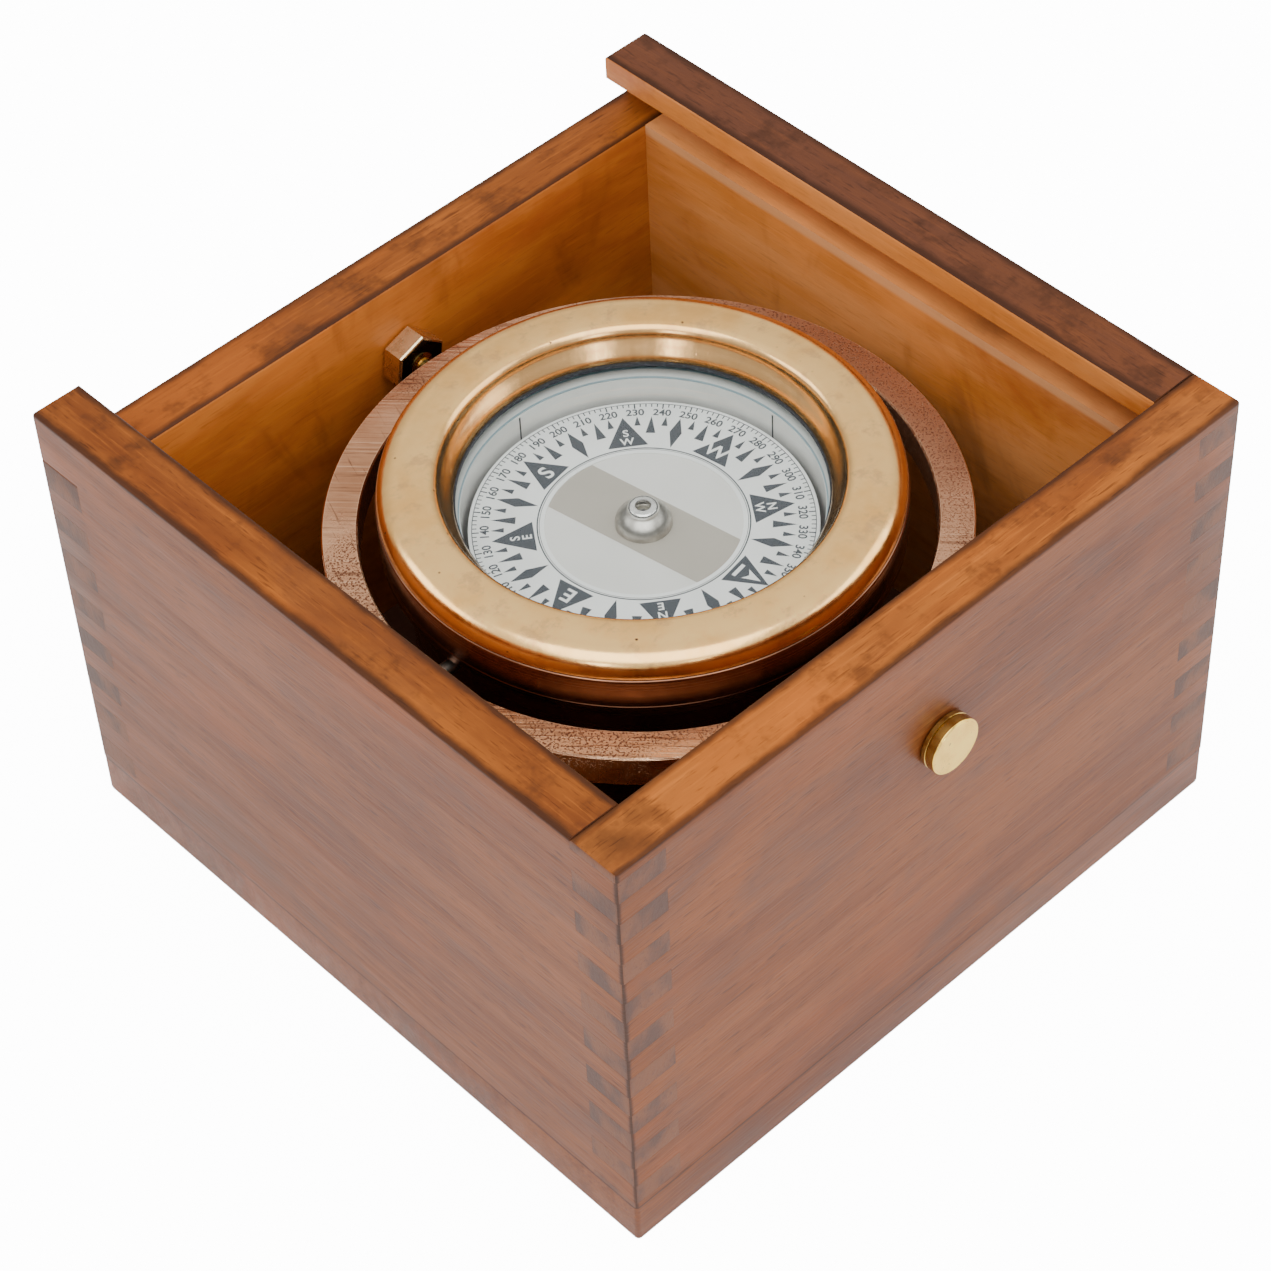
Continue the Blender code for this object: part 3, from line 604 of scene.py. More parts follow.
def make_side(side, word, tones, front_gaps, back_rows, ends):
    low = BASE_TOP + SEAM / 2
    x = sorted((side * INNER, side * HALF))
    slot = sorted((side * (INNER - OVER), side * (INNER + GROOVE_DEPTH)))
    groove = ((slot[0], -INNER, BACK_TOP), (slot[1], HALF + OVER, BACK_TOP + GROOVE_H))
    wall = blocks(word, [((x[0], -HALF, low), (x[1], HALF, BOX_TOP))])
    wall = carve(wall, [blocks("a", sockets(front_gaps, side, -1)),
                        blocks("b", sockets(back_rows, side, 1)), blocks("c", [groove])])
    looks = [outer_wood(f"{word}_outer", 1, 7.0 + side, 1),
             inner_wood(f"{word}_inner", 1, 9.2 + side, PALE_AMBER, AMBER, BACK_TOP),
             top_wood(f"{word}_top", 1, 11.0 + side, [(0, side * HALF), (0, side * INNER)], tones),
             ends]

    def choose(n, c):
        if n.z > 0.5 and c.z > BOX_TOP - 2 * MM:
            return 2
        if n.x * side > 0.6:
            return 0
        return 1 if n.x * side < -0.6 or abs(n.z) > 0.5 and abs(c.y) < INNER else 3

    planes = [(0, side * HALF), (1, -HALF), (1, HALF), (2, BOX_TOP), (0, side * INNER)]
    wall_piece(f"{word}_wall", wall, planes, looks, choose)


def make_base():
    base = blocks("base", [((-HALF, -HALF, 0), (HALF, HALF, BASE_TOP - SEAM / 2))])
    round_edges(base, [(0, -HALF), (0, HALF), (1, -HALF), (1, HALF), (2, 0.0)], 1.1 * MM)

    def base_stains(shade):
        return edge_stain(shade, [(2, BASE_TOP), (2, 0.0)], 0.7 * MM, 3.0)

    smooth(base, 40)
    link("base_board_wood", base, "box", "base_board",
         wood("base_wood_look", 0, PINK_BROWN, DEEP_BROWN, GREY_VIOLET, 13.0,
              stains=base_stains))


# ---- metal

def bezel_brass():
    """Polished brass, a little pitted, and browner towards the bore as painted dark reflection."""
    shade = Shade("bezel_brass", Metallic=1.0, Roughness=0.17)
    turned = shade.rings(BOWL_C, 2600)
    cloud = shade.noise(55, 4, 0.6)
    base = shade.mix((0.97, 0.60, 0.22), (0.86, 0.47, 0.14), shade.fade(cloud, 0.40, 0.68))
    tarnish = shade.noise(150, 4, 0.7, shift=(7, 3, 0))
    base = shade.mix(base, (0.58, 0.33, 0.15), shade.fade(tarnish, 0.52, 0.70), 0.50)
    pits = shade.cells(360)
    chosen = shade.noise(160, 2, 0.5, shift=(4, 2, 0))
    pit = shade.times(shade.fade(pits, 0.16, 0.05), shade.fade(chosen, 0.59, 0.64))
    base = shade.mix(base, (0.10, 0.045, 0.025), pit)
    # painted reflection: the bore is browned for the dark surroundings it mirrors
    inner = shade.fade(shade.radius(BOWL_C), 44.6 * MM, 42.8 * MM)
    base = shade.mix(base, (0.52, 0.30, 0.14), inner, 0.60)
    wear = shade.noise((900, 90, 90), 3, 0.6, turn=(0, 0, 0.7))
    rough = shade.plus(shade.times(wear, 0.22), 0.10)
    normal = shade.bump(turned, 0.00003, 0.30)
    normal = shade.bump(shade.noise(260, 3, 0.5), 0.0003, 0.16, normal)
    normal = shade.bump(pit, -0.0001, 0.7, normal)
    return shade.set(Base_Color=base, Roughness=rough, Normal=normal)


def skirt_bronze():
    """Turned bronze, darkened as painted reflection of the dark ring and wood, with painted shade in the line
    round the skirt.
    """
    shade = Shade("skirt_bronze", Metallic=1.0, Roughness=0.24)
    lines = shade.rings(BOWL_C, 3800)
    cloud = shade.noise(60, 4, 0.6, shift=(3, 0, 0))
    # painted reflection: the bronze is kept dark for the dark ring and wood it mirrors
    base = shade.mix((0.25, 0.120, 0.070), (0.16, 0.072, 0.042), shade.fade(cloud, 0.35, 0.7))
    # painted shade in the turned groove round the skirt
    painted_groove_shade = shade.math("ABSOLUTE", shade.math("SUBTRACT", shade.axis(2), SKIRT_LINE))
    painted_groove_shade = shade.fade(painted_groove_shade, 0.30 * MM, 0.08 * MM)
    base = shade.mix(base, (0.09, 0.035, 0.018), painted_groove_shade, 0.85)
    rough = shade.plus(shade.times(lines, 0.2), 0.14)
    return shade.set(Base_Color=base, Roughness=rough, Normal=shade.bump(lines, 0.00005, 0.35))


def ring_copper():
    """Filed copper bronze: scratched, with pitted patches and bright rims."""
    shade = Shade("ring_copper", Metallic=1.0, Roughness=0.35)
    radius, angle = shade.radius(RING_C, True)
    region = shade.noise(24, 3, 0.5, shift=(1, 7, 0))
    files = shade.noise((1250, 34, 300), 3, 0.65, turn=(0, 0, -0.75), bend=0.2)
    cross = shade.noise((1100, 60, 300), 3, 0.6, turn=(0, 0, 0.35), shift=(2, 0, 0))
    pits = shade.noise(1900, 2, 0.6)
    pitted = shade.fade(region, 0.48, 0.58)
    brown = shade.noise(35, 4, 0.6, shift=(9, 1, 0))
    base = shade.mix((0.62, 0.335, 0.190), (0.42, 0.195, 0.100), shade.fade(brown, 0.38, 0.70))
    east = shade.fade(shade.math("COSINE", angle), 0.35, 0.95)
    base = shade.mix(base, (0.50, 0.265, 0.160), east, 0.6)
    pitted = shade.most(pitted, shade.times(east, 0.8))
    groove = shade.most(shade.fade(files, 0.55, 0.66), shade.fade(cross, 0.62, 0.70))
    west = shade.math("SUBTRACT", 1.0, shade.times(east, 0.85))
    groove = shade.times(groove, west)
    base = shade.mix(base, (0.16, 0.062, 0.032), groove, 0.75)
    bright = shade.fade(files, 0.42, 0.34)
    bright = shade.times(bright, west)
    base = shade.mix(base, (0.80, 0.50, 0.31), bright, 0.50)
    speck = shade.times(shade.fade(pits, 0.53, 0.62), pitted)
    base = shade.mix(base, (0.15, 0.06, 0.035), speck, 0.85)
    rim = shade.most(shade.fade(radius, RING_R - 0.55 * MM, RING_R - 0.30 * MM),
                     shade.fade(radius, RING_BORE + 0.55 * MM, RING_BORE + 0.30 * MM))
    base = shade.mix(base, (0.88, 0.58, 0.36), rim, 0.7)
    rough = shade.plus(shade.times(pitted, 0.15), 0.24)
    normal = shade.bump(shade.times(files, west), 0.00014, 0.65)
    normal = shade.bump(cross, 0.00008, 0.4, normal)
    normal = shade.bump(speck, -0.00016, 0.9, normal)
    return shade.set(Base_Color=base, Roughness=rough, Normal=normal)


def button_brass():
    """Bright brass, with painted dark reflection round the button's side."""
    shade = Shade("button_brass", Metallic=1.0, Roughness=0.2)
    cloud = shade.noise(130, 4, 0.6)
    base = shade.mix((0.88, 0.59, 0.13), (0.76, 0.46, 0.09), shade.fade(cloud, 0.42, 0.72))
    spots = shade.fade(shade.noise(700, 3, 0.6), 0.64, 0.72)
    base = shade.mix(base, (0.22, 0.13, 0.06), spots, 0.7)
    # painted reflection: the head's cylindrical side is darkened for the dark surroundings it mirrors
    side = shade.fade(shade.axis(1), -HALF - 3.7 * MM, -HALF - 3.5 * MM)
    base = shade.mix(base, (0.26, 0.15, 0.06), side, 0.65)
    marks = shade.noise((900, 60, 900), 3, 0.6, turn=(0, 0.8, 0))
    rough = shade.plus(shade.times(cloud, 0.16), 0.10)
    return shade.set(Base_Color=base, Roughness=rough, Normal=shade.bump(marks, 0.00003, 0.3))


def plain_metal(name, pale, deep, rough):
    shade = Shade(name, Metallic=1.0)
    cloud = shade.noise(400, 4, 0.6)
    base = shade.mix(pale, deep, shade.fade(cloud, 0.35, 0.7))
    wear = shade.plus(shade.times(cloud, 0.2), rough - 0.1)
    return shade.set(Base_Color=base, Roughness=wear, Normal=shade.bump(cloud, 0.00005, 0.3))


def make_bezel():
    """Heavy rounded ring over the glass, rolled inwards at its bore."""
    top, under = BEZEL_HIGH.z, 100.8 * MM
    profile = arc((51.4 * MM, 101.0 * MM), 4.8 * MM, 90, 0, 20, 4.7 / 4.8)
    profile += [(BEZEL_R, under), (49.0 * MM, under), (48.7 * MM, 96.2 * MM),
                (46.2 * MM, 96.2 * MM), (46.2 * MM, LIP), (LIP_R, LIP),
                (LIP_R + 0.05 * MM, 99.4 * MM), (40.7 * MM, 100.6 * MM),
                (41.6 * MM, 101.8 * MM), (42.4 * MM, 102.9 * MM)]
    profile += arc((45.4 * MM, 103.4 * MM), 2.6 * MM, 172, 90, 12)
    profile += [(47.5 * MM, top), (49.5 * MM, 105.9 * MM), (50.5 * MM, 105.78 * MM)]
    mesh = lathe("bezel", profile, BOWL_C, 256)
    smooth(mesh, 50)
    link("bezel_ring_brass", mesh, "bowl", "bezel_ring", bezel_brass())


def make_skirt():
    """The bowl, whose turned skirt stands out under the bezel."""
    top = 100.5 * MM
    nick = 0.14 * MM
    profile = [(55.0 * MM, top)] + arc((SKIRT_R - 0.6 * MM, top - 0.6 * MM), 0.6 * MM, 90, 0, 5)
    profile += [(SKIRT_R, SKIRT_LINE + nick), (SKIRT_R - nick, SKIRT_LINE),
                (SKIRT_R, SKIRT_LINE - nick)]
    profile += arc((SKIRT_R - 0.6 * MM, SKIRT_LOW + 0.6 * MM), 0.6 * MM, 0, -90, 5)
    profile += [(BOWL_R, SKIRT_LOW)]
    profile += arc((BOWL_R - 4 * MM, BODY_LOW.z + 4 * MM), 4 * MM, 0, -90, 8)
    profile += [(30 * MM, BODY_LOW.z), (30 * MM, 46.1 * MM), (27 * MM, 46.1 * MM),
                (27 * MM, 49 * MM), (3.5 * MM, 49 * MM), (3.5 * MM, 51.8 * MM),
                (41.0 * MM, 51.8 * MM), (41.0 * MM, 93.3 * MM), (45.9 * MM, 93.3 * MM),
                (45.9 * MM, 95.6 * MM), (49.3 * MM, 95.6 * MM), (49.3 * MM, top)]
    mesh = lathe("bowl", profile, BOWL_C, 256)
    smooth(mesh, 40)
    link("bowl_body_bronze", mesh, "bowl", "bowl_body", skirt_bronze())


def make_ring():
    """The gimbal ring with the holes for its two pivots and two pins."""
    low, high = RING_LOW.z, RING_HIGH.z
    chamfer = 0.35 * MM
    profile = [(RING_R - chamfer, high), (RING_R, high - chamfer), (RING_R, low + chamfer),
               (RING_R - chamfer, low), (RING_BORE + chamfer, low), (RING_BORE, low + chamfer),
               (RING_BORE, high - chamfer), (RING_BORE + chamfer, high)]
    mesh = lathe("ring", profile, RING_C, 224)
    cutters = []
    for x, y, radius in ((0, -1, 2.1), (0, 1, 2.1), (-1, 0, 2.6), (1, 0, 2.6)):
        start = RING_C + Vector((x, y, 0)) * (RING_BORE - 5 * MM) + Vector((0, 0, PIVOT.z))
        end = RING_C + Vector((x, y, 0)) * (RING_R + 5 * MM) + Vector((0, 0, PIVOT.z))
        cutters.append(rod("hole", radius * MM, start, end))
    mesh = carve(mesh, cutters)
    mesh.materials.clear()
    smooth(mesh, 30)
    link("gimbal_ring_copper", mesh, "ring", "gimbal_ring", ring_copper())


def make_button():
    """The round head, shank and pin of the front pivot screw."""
    low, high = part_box("front_pivot_screw")
    radius = (high.x - low.x) / 2
    tip = -high.y
    face = HALF + 0.2 * MM
    top = -low.y
    groove = 0.3 * MM
    profile = [(0, top), (radius - 0.55 * MM, top), (radius - 0.5 * MM, top - 0.06 * MM),
               (radius - 0.4 * MM, top - 0.02 * MM)]
    profile += arc((radius - 0.3 * MM, top - 0.3 * MM), 0.3 * MM, 80, 0, 4)
    profile += [(radius, face + 1.6 * MM), (radius - groove, face + 1.4 * MM),
                (radius, face + 1.2 * MM), (radius, face + 0.3 * MM), (radius - 0.3 * MM, face),
                (3.1 * MM, face), (3.1 * MM, INNER - 3.0 * MM), (2.0 * MM, INNER - 3.3 * MM),
                (2.0 * MM, tip + 0.5 * MM), (1.5 * MM, tip), (0, tip)]
    lay = Matrix.Rotation(math.radians(90), 4, "X")
    mesh = lathe("button", profile, Vector((0, 0, PIVOT.z)), 96, closed=False, turn=lay)
    smooth(mesh, 40)
    link("front_pivot_screw_brass", mesh, "box", "front_pivot_screw",
         button_brass())


def make_back_nut():
    """Hexagon nut behind the ring: bright chamfered flats and a dark inner face."""
    low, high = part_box("back_pivot_nut")
    across = 12.6 * MM / math.sqrt(3)
    mesh = rod("nut", across, (0, high.y, PIVOT.z), (0, low.y, PIVOT.z), 6)
    shape = bmesh.new()
    shape.from_mesh(mesh)
    shape.transform(Matrix.Translation((0, 0, PIVOT.z)) @ Matrix.Rotation(math.radians(10), 4, "Y")
                    @ Matrix.Translation((0, 0, -PIVOT.z)))
    rims = [e for e in shape.edges if abs(e.verts[0].co.y - e.verts[1].co.y) < 1e-6]
    bmesh.ops.bevel(shape, geom=rims, offset=0.55 * MM, segments=2, profile=0.5, affect="EDGES")
    shape.to_mesh(mesh)
    shape.free()
    mesh.materials.append(plain_metal("nut_brass", (0.82, 0.68, 0.42), (0.62, 0.48, 0.27), 0.26))
    mesh.materials.append(plain_metal("nut_shadow", (0.030, 0.024, 0.022), (0.012, 0.010, 0.010),
                                      0.30))
    for face in mesh.polygons:
        face.material_index = 1 if face.normal.y < -0.97 else 0
    smooth(mesh, 25)
    link("back_pivot_nut_brass", mesh, "box", "back_pivot_nut")


def carry_over_materials():
    """Better materials on the CAD nodes whose shapes are right as they are."""
    steel = plain_metal("dark_steel_look", (0.30, 0.26, 0.22), (0.12, 0.10, 0.08), 0.35)
    tinned = plain_metal("tinned_look", (0.72, 0.70, 0.64), (0.48, 0.46, 0.41), 0.30)
    lead = plain_metal("lead_look", (0.25, 0.25, 0.27), (0.15, 0.15, 0.17), 0.55)
    rubber = Shade("rubber_look", Roughness=0.55)
    grain = rubber.noise(2500, 2, 0.5)
    dark = rubber.mix((0.012, 0.018, 0.030), (0.035, 0.045, 0.060), grain)
    rubber = rubber.set(Base_Color=dark, Normal=rubber.bump(grain, 0.00005, 0.3))
    by_slot = {"polished_brass": button_brass(), "copper_bronze": skirt_bronze(),
               "dark_steel": steel, "tinned_metal": tinned, "lead": lead, "rubber": rubber,
               "white_enamel": white_enamel(), "sapphire": plain_gem()}
    for part in frame["record"]["subparts"]:
        look = by_slot.get(part["material_slot"])
        node = frame["nodes"].get(part["node"])
        if look is None or node is None:
            continue
        for slot in node.material_slots:
            slot.material = look


def plain_gem():
    shade = Shade("jewel_look", Roughness=0.08)
    cloud = shade.noise(900, 2, 0.5)
    return shade.set(Base_Color=shade.mix((0.030, 0.034, 0.045), (0.015, 0.017, 0.022), cloud))


def white_enamel():
    shade = Shade("white_enamel_look", Roughness=0.3, Coat_Weight=0.3, Coat_Roughness=0.1)
    cloud = shade.noise(90, 3, 0.5)
    base = shade.mix((0.82, 0.81, 0.77), (0.74, 0.73, 0.69), shade.fade(cloud, 0.4, 0.7))
    return shade.set(Base_Color=base, Normal=shade.bump(cloud, 0.0001, 0.1))


# ---- the card

def glass_look():
    """Clear thin glass whose reflection grows towards grazing angles."""
    material = bpy.data.materials.new("clear_glass_look")
    material.use_nodes = True
    tree = material.node_tree
    tree.nodes.clear()
    out = tree.nodes.new("ShaderNodeOutputMaterial")
    mix = tree.nodes.new("ShaderNodeMixShader")
    clear = tree.nodes.new("ShaderNodeBsdfTransparent")
    clear.inputs["Color"].default_value = (0.965, 0.975, 0.97, 1)
    shine = tree.nodes.new("ShaderNodeBsdfGlossy")
    shine.inputs["Roughness"].default_value = 0.02
    fresnel = tree.nodes.new("ShaderNodeFresnel")
    fresnel.inputs["IOR"].default_value = 1.22
    tree.links.new(fresnel.outputs[0], mix.inputs[0])
    tree.links.new(clear.outputs[0], mix.inputs[1])
    tree.links.new(shine.outputs[0], mix.inputs[2])
    tree.links.new(mix.outputs[0], out.inputs["Surface"])
    return material


def make_glass():
    low, high = GLASS_LOW.z, GLASS_HIGH.z
    edge = 0.3 * MM
    profile = [(0, high), (GLASS_R - edge, high), (GLASS_R, high - edge),
               (GLASS_R, low + edge), (GLASS_R - edge, low), (0, low)]
    mesh = lathe("glass", profile, BOWL_C, 160, closed=False)
    link("cover_glass_pane", mesh, "bowl", "cover_glass", glass_look())


def make_gaskets():
    """Black rubber under the bezel's lip, and the pale edge of the glass on its seat."""
    make_upper_gasket()
    make_lower_gasket()


def flat_ring(name, inner, low, high):
    """A plain ring as wide as the glass."""
    return lathe(name, [(GLASS_R, high), (GLASS_R, low), (inner, low), (inner, high)], BOWL_C)


def make_upper_gasket():
    mesh = flat_ring("upper", LIP_R - 0.35 * MM, GLASS_HIGH.z + 0.1 * MM, LIP - 0.05 * MM)
    rubber = Shade("gasket_black", Roughness=0.6)
    grain = rubber.noise(1300, 3, 0.6)
    tone = rubber.mix((0.006, 0.009, 0.014), (0.045, 0.055, 0.070), rubber.fade(grain, 0.5, 0.8))
    link("upper_gasket_black", mesh, "bowl", "upper_gasket",
         rubber.set(Base_Color=tone, Normal=rubber.bump(grain, 0.0002, 0.6)))


def make_lower_gasket():
    inner = LINER_R + 0.15 * MM
    mesh = flat_ring("lower", inner, GLASS_LOW.z - 0.45 * MM, GLASS_LOW.z - 0.1 * MM)
    seat = Shade("glass_seat", Roughness=0.3)
    away = seat.radius(BOWL_C)
    line = seat.most(seat.fade(away, 41.6 * MM, 41.9 * MM),
                     seat.fade(away, inner + 0.40 * MM, inner + 0.22 * MM))
    cloud = seat.noise(300, 3, 0.5)
    white = seat.mix((0.84, 0.84, 0.80), (0.74, 0.76, 0.73), cloud)
    tone = seat.mix(white, (0.22, 0.36, 0.43), line, 0.85)
    link("lower_gasket_pale", mesh, "bowl", "lower_gasket", seat.set(Base_Color=tone))


def ink(name, tone):
    """Printing ink or paint of one tone."""
    shade = Shade(name, Roughness=0.6)
    grain = shade.noise(3000, 2, 0.5)
    return shade.set(Base_Color=shade.mix(tone, tuple(c * 1.35 + 0.01 for c in tone), grain))


def card_white(name, tone):
    """Printed paper, faintly clouded with age."""
    shade = Shade(name, Roughness=0.5)
    grain = shade.noise(1400, 3, 0.6)
    cloud = shade.noise(70, 3, 0.5)
    base = shade.mix(tone, tuple(c * 0.93 for c in tone), shade.fade(cloud, 0.35, 0.7))
    base = shade.mix(base, tuple(c * 0.90 for c in tone), grain, 0.3)
    return shade.set(Base_Color=base, Normal=shade.bump(grain, 0.00003, 0.2))


class Print:
    """Flat printed shapes on the card, in one mesh, given by bearing and radius."""

    def __init__(self, height):
        self.shape = bmesh.new()
        self.height = height

    def spot(self, bearing, radius, aside=0.0):
        """The place at a bearing and radius, moved aside to the right."""
        angle = NORTH - math.radians(bearing)
        out = Vector((math.cos(angle), math.sin(angle), 0))
        right = Vector((math.sin(angle), -math.cos(angle), 0))
        return BOWL_C + out * radius + right * aside + Vector((0, 0, self.height))

    def polygon(self, spots):
        """One flat face through (bearing, radius, aside) corners."""
        verts = [self.shape.verts.new(self.spot(*s)) for s in spots]
        self.shape.faces.new(verts)

    def ring(self, inner, outer):
        steps = 240
        for i in range(steps):
            a, b = 360 * i / steps, 360 * (i + 1) / steps
            self.polygon([(a, inner), (a, outer), (b, outer), (b, inner)])

    def text(self, words, bearing, radius, size):
        """Text whose top points outwards."""
        curve = bpy.data.curves.new("text", "FONT")
        curve.body = words
        curve.size = size
        curve.align_x = "CENTER"
        curve.align_y = "CENTER"
        curve.offset = size * 0.022  # thickens the letters
        item = add_object("text", curve)
        graph = bpy.context.evaluated_depsgraph_get()
        mesh = bpy.data.meshes.new_from_object(item.evaluated_get(graph))
        angle = NORTH - math.radians(bearing)
        mesh.transform(Matrix.Translation(self.spot(bearing, radius))
                       @ Matrix.Rotation(angle - math.pi / 2, 4, "Z"))
        self.shape.from_mesh(mesh)
        bpy.data.objects.remove(item, do_unlink=True)

    def finish(self, name, look, replaced=None):
        bmesh.ops.recalc_face_normals(self.shape, faces=self.shape.faces)
        for face in self.shape.faces:
            if face.normal.z < 0:
                face.normal_flip()
        link(name, to_mesh(self.shape, name), "card", replaced, look)


def make_card():
    under = CARD_LOW.z
    mesh = lathe("card", [(CARD_R - 0.1 * MM, CARD_TOP), (CARD_R, CARD_TOP - 0.1 * MM),
                          (CARD_R, under), (WINDOW_R, under), (WINDOW_R, CARD_TOP)], BOWL_C, 200)
    link("card_disc_print", mesh, "card", "card_disc",
         card_white("card_paper", (0.88, 0.88, 0.86)))
    make_window()

    dark = Print(CARD_TOP + 0.02 * MM)
    print_scale(dark)
    print_points(dark)
    dark.finish("card_ink", ink("card_ink_dark", (0.032, 0.038, 0.048)))

    pale = Print(CARD_TOP + 0.04 * MM)
    for bearing, words in ((90, "E"), (180, "S"), (270, "W")):
        pale.text(words, bearing, 26.2 * MM, 5.2 * MM)
    for bearing, (upper, lower) in ((45, "NE"), (135, "SE"), (225, "SW"), (315, "NW")):
        pale.text(upper, bearing, 27.6 * MM, 2.9 * MM)
        pale.text(lower, bearing, 25.0 * MM, 2.9 * MM)
    make_north_mark(pale)
    pale.finish("card_letters", card_white("letter_white", (0.88, 0.88, 0.86)))


def make_window():
    """The pale middle, with the magnet case showing through as a flat grey band."""
    window = Print(CARD_TOP - 0.20 * MM)
    window.ring(6.4 * MM, WINDOW_R + 0.3 * MM)
    paper = card_white("window_paper", (0.76, 0.74, 0.70))
    window.finish("card_window_pane", paper, "card_window")
    band = Print(CARD_TOP - 0.17 * MM)
    steps = 12
    spots = []
    for end in (0, 180):
        for i in range(steps + 1):
            aside = BAND_HALF * (1 - 2 * i / steps)
            reach = math.sqrt((WINDOW_R * 0.998) ** 2 - aside ** 2)
            spots.append((end, reach, aside))
    band.polygon(spots)
    band.finish("magnet_band_seen", card_white("band_grey", (0.43, 0.385, 0.325)))


def print_scale(dark):
    """Degree marks, the rings that bound the scale and its figures."""
    for degree in range(0, 360, 2):
        long_tick = degree % 10 == 0
        inner = TICK_R - (1.45 if long_tick else 0.95) * MM
        half = (0.16 if long_tick else 0.13) * MM
        dark.polygon([(degree, inner, -half), (degree, TICK_R, -half),
                      (degree, TICK_R, half), (degree, inner, half)])
    dark.ring(TICK_R - 0.04 * MM, TICK_R + 0.14 * MM)
    dark.ring(22.62 * MM, 22.92 * MM)
    dark.ring(22.28 * MM, 22.40 * MM)
    for degree in [*range(10, 360, 10), 0]:
        dark.text(str(degree), degree, FIGURE_R, FIGURE_SIZE)


def print_points(dark):
    """The 64 points of the rose: lettered triangles, diamonds and two sizes of darts."""
    for number in range(64):
        bearing = number * 360 / 64
        if number % 8 == 0:
            half = 4.4 * MM
            dark.polygon([(bearing, POINT_TIP), (bearing, POINT_FOOT, half),
                          (bearing, POINT_FOOT, -half)])
        elif number % 4 == 0:
            waist, half = 28.2 * MM, 1.35 * MM
            dark.polygon([(bearing, POINT_TIP), (bearing, waist, half),
                          (bearing, POINT_FOOT - 0.1 * MM), (bearing, waist, -half)])
        else:
            foot, half = (27.5 * MM, 1.07 * MM) if number % 2 == 0 else (29.9 * MM, 0.7 * MM)
            dark.polygon([(bearing, POINT_TIP + 0.1 * MM), (bearing, foot, half),
                          (bearing, foot, -half)])


def make_north_mark(pale):
    """A plain north mark: a pale arrow head over a bar on the dark triangle."""
    pale.polygon([(0, 30.6 * MM), (0, 26.6 * MM, 1.5 * MM), (0, 27.6 * MM),
                  (0, 26.6 * MM, -1.5 * MM)])
    pale.polygon([(0, 24.4 * MM, -1.9 * MM), (0, 25.3 * MM, -1.9 * MM),
                  (0, 25.3 * MM, 1.9 * MM), (0, 24.4 * MM, 1.9 * MM)])


def make_dome():
    """Round float dome with its polished cap, on the middle of the card."""
    foot = CARD_TOP - 0.1 * MM
    profile = [(2.0 * MM, DOME_TOP), (3.3 * MM, DOME_TOP - 0.1 * MM)]
    profile += arc((0, foot + 0.6 * MM), 6.15 * MM, 52, 0, 14, 0.66)
    profile += [(6.2 * MM, foot), (5.4 * MM, foot), (3.6 * MM, foot + 2.4 * MM),
                (2.0 * MM, foot + 2.9 * MM)]
    mesh = lathe("dome", profile, BOWL_C, 96)
    smooth(mesh, 50)
    link("float_dome_tin", mesh, "card", "float_dome",
         plain_metal("dome_tin", (0.60, 0.57, 0.52), (0.42, 0.39, 0.35), 0.36))
    top = DOME_TOP + 1.2 * MM
    cap = [(1.5 * MM, top - 0.5 * MM), (1.75 * MM, top)]
    cap += arc((2.55 * MM, top - 0.9 * MM), 0.9 * MM, 90, 0, 7)
    cap += [(3.5 * MM, DOME_TOP + 0.05 * MM), (3.3 * MM, DOME_TOP), (1.5 * MM, DOME_TOP)]
    mesh = lathe("cap", cap, BOWL_C, 96)
    smooth(mesh, 50)
    link("dome_cap_tin", mesh, "card", "dome_cap",
         plain_metal("cap_tin", (0.90, 0.88, 0.85), (0.70, 0.68, 0.65), 0.22))


def make_liner():
    """White wall inside the bowl with its four painted lubber lines."""
    low, high = 60 * MM, GLASS_LOW.z - 0.55 * MM
    r = LINER_R
    mesh = lathe("liner", [(r + 1.0 * MM, high), (r + 1.0 * MM, low), (r, low), (r, high)],
                 BOWL_C, 200)
    link("white_liner_wall", mesh, "bowl", "white_liner", white_enamel())
    shape = bmesh.new()
    half = math.radians(0.33)
    foot, top = 85 * MM, high - 0.5 * MM
    for quarter in range(4):
        angle = quarter * math.pi / 2
        corners = []
        for turn, z in ((-half, foot), (half, foot), (half, top), (-half, top)):
            spot = Vector((math.cos(angle + turn), math.sin(angle + turn), 0)) * (r - 0.05 * MM)
            corners.append(shape.verts.new(BOWL_C + spot + Vector((0, 0, z))))
        shape.faces.new(corners)
    link("lubber_lines", to_mesh(shape, "lubber"), "bowl",
         look=ink("lubber_black", (0.02, 0.02, 0.022)))


# ---- stage

def make_camera():
    """The camera, placed by its heading, height and roll about the middle of the box."""
    turn, lift, roll = math.radians(-41.48), math.radians(46.87), math.radians(-3.01)
    distance = 0.8175
    aside, upward = -0.00176, -0.00648
    back = Vector((math.sin(turn) * math.cos(lift), -math.cos(turn) * math.cos(lift),
                   math.sin(lift)))
    right = (-back).cross(Vector((0, 0, 1))).normalized()
    up = right.cross(-back)
    middle = Vector((0, 0, BOX_TOP / 2)) + right * aside + up * upward
    side_axis = math.cos(roll) * right + math.sin(roll) * up
    up_axis = -math.sin(roll) * right + math.cos(roll) * up
    data = bpy.data.cameras.new("photo_camera")
    data.sensor_width = 36.0
    data.lens = 105.5
    data.clip_start = 0.01
    camera = add_object("photo_camera", data)
    axes = Matrix((side_axis, up_axis, back)).transposed().to_4x4()
    camera.matrix_world = Matrix.Translation(middle + back * distance) @ axes
    bpy.context.scene.camera = camera


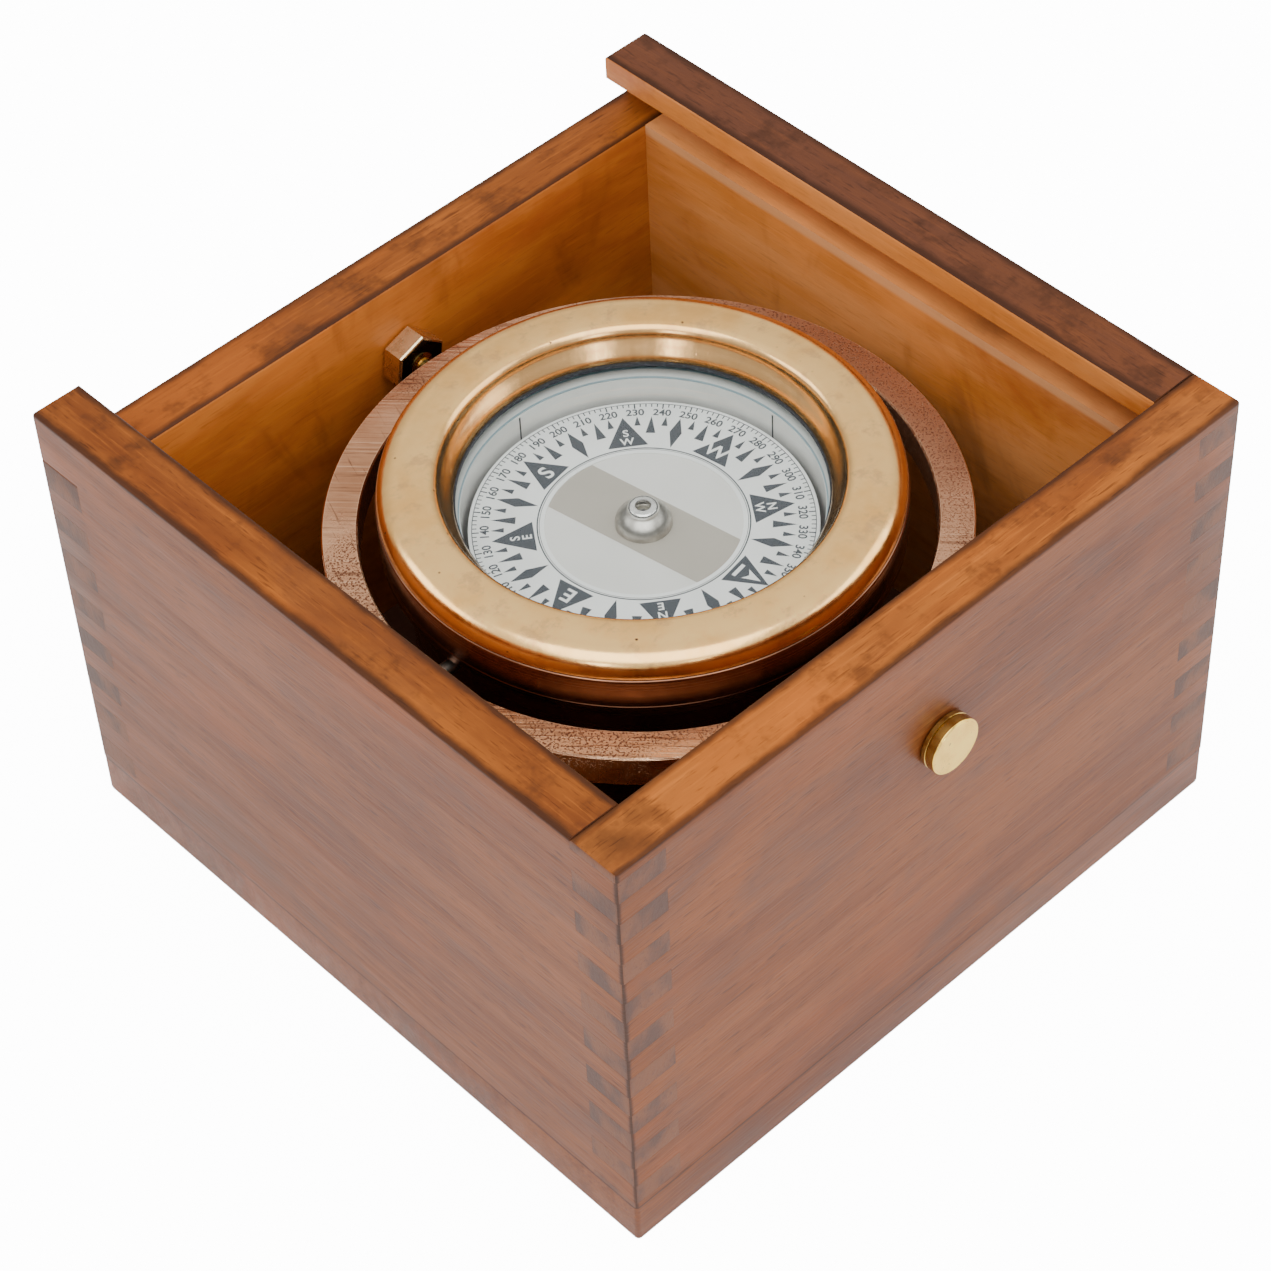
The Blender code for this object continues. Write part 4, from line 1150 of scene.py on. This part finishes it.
def area_light(name, place, size, power):
    """A rectangular light aimed at the middle of the box."""
    data = bpy.data.lights.new(name, "AREA")
    data.shape = "RECTANGLE"
    data.size, data.size_y = size
    data.energy = power
    lamp = add_object(name, data)
    lamp.location = place
    aim = Vector((0, 0, 80 * MM)) - Vector(place)
    lamp.rotation_euler = aim.to_track_quat("-Z", "Y").to_euler()


def make_floor():
    """A white floor that the camera sees as pure white, with soft light of its own."""
    shape = bmesh.new()
    bmesh.ops.create_grid(shape, x_segments=1, y_segments=1, size=3.0)
    mesh = to_mesh(shape, "floor")
    shade = Shade("floor_white", Roughness=0.7, Emission_Color=(1.0, 1.0, 1.0, 1.0))
    cloud = shade.noise(1, 1, 0.5)
    seen = shade.add("LightPath").outputs["Is Camera Ray"]
    glow = shade.plus(shade.times(seen, 12.0), 0.30)
    base = shade.mix((0.95, 0.95, 0.95), (0.93, 0.93, 0.93), cloud)
    mesh.materials.append(shade.set(Base_Color=base, Emission_Strength=glow))
    add_object("floor", mesh)


def make_world():
    """A studio that is dimmer near the ground than overhead."""
    world = bpy.data.worlds.new("studio")
    bpy.context.scene.world = world
    world.use_nodes = True
    tree = world.node_tree
    background = tree.nodes["Background"]
    place = tree.nodes.new("ShaderNodeTexCoord")
    split = tree.nodes.new("ShaderNodeSeparateXYZ")
    ramp = tree.nodes.new("ShaderNodeValToRGB")
    tree.links.new(place.outputs["Generated"], split.inputs[0])
    tree.links.new(split.outputs[2], ramp.inputs[0])
    tree.links.new(ramp.outputs[0], background.inputs["Color"])
    stops = ramp.color_ramp.elements
    stops[0].position, stops[0].color = 0.0, (0.50, 0.46, 0.43, 1)
    stops[1].position, stops[1].color = 0.85, (1.0, 1.0, 1.0, 1)
    middle = stops.new(0.35)
    middle.color = (0.62, 0.60, 0.58, 1)
    background.inputs["Strength"].default_value = 1.3


def make_lights():
    area_light("key", (-0.35, -0.35, 1.2), (1.3, 1.0), 13.0)
    area_light("fill", (0.9, -0.7, 0.6), (0.9, 0.9), 7.0)
    area_light("rim", (-0.9, 1.0, 1.0), (0.9, 0.6), 6.0)
    area_light("window_left", (-0.98, -0.53, 0.53), (0.15, 0.45), 1.5)
    area_light("window_front", (-0.41, -1.03, 0.53), (0.15, 0.45), 1.5)


make_camera()
make_floor()
make_world()
make_lights()
carry_over_materials()
make_walls()
make_button()
make_back_nut()
make_ring()
make_skirt()
make_bezel()
make_gaskets()
make_liner()
make_glass()
make_card()
make_dome()
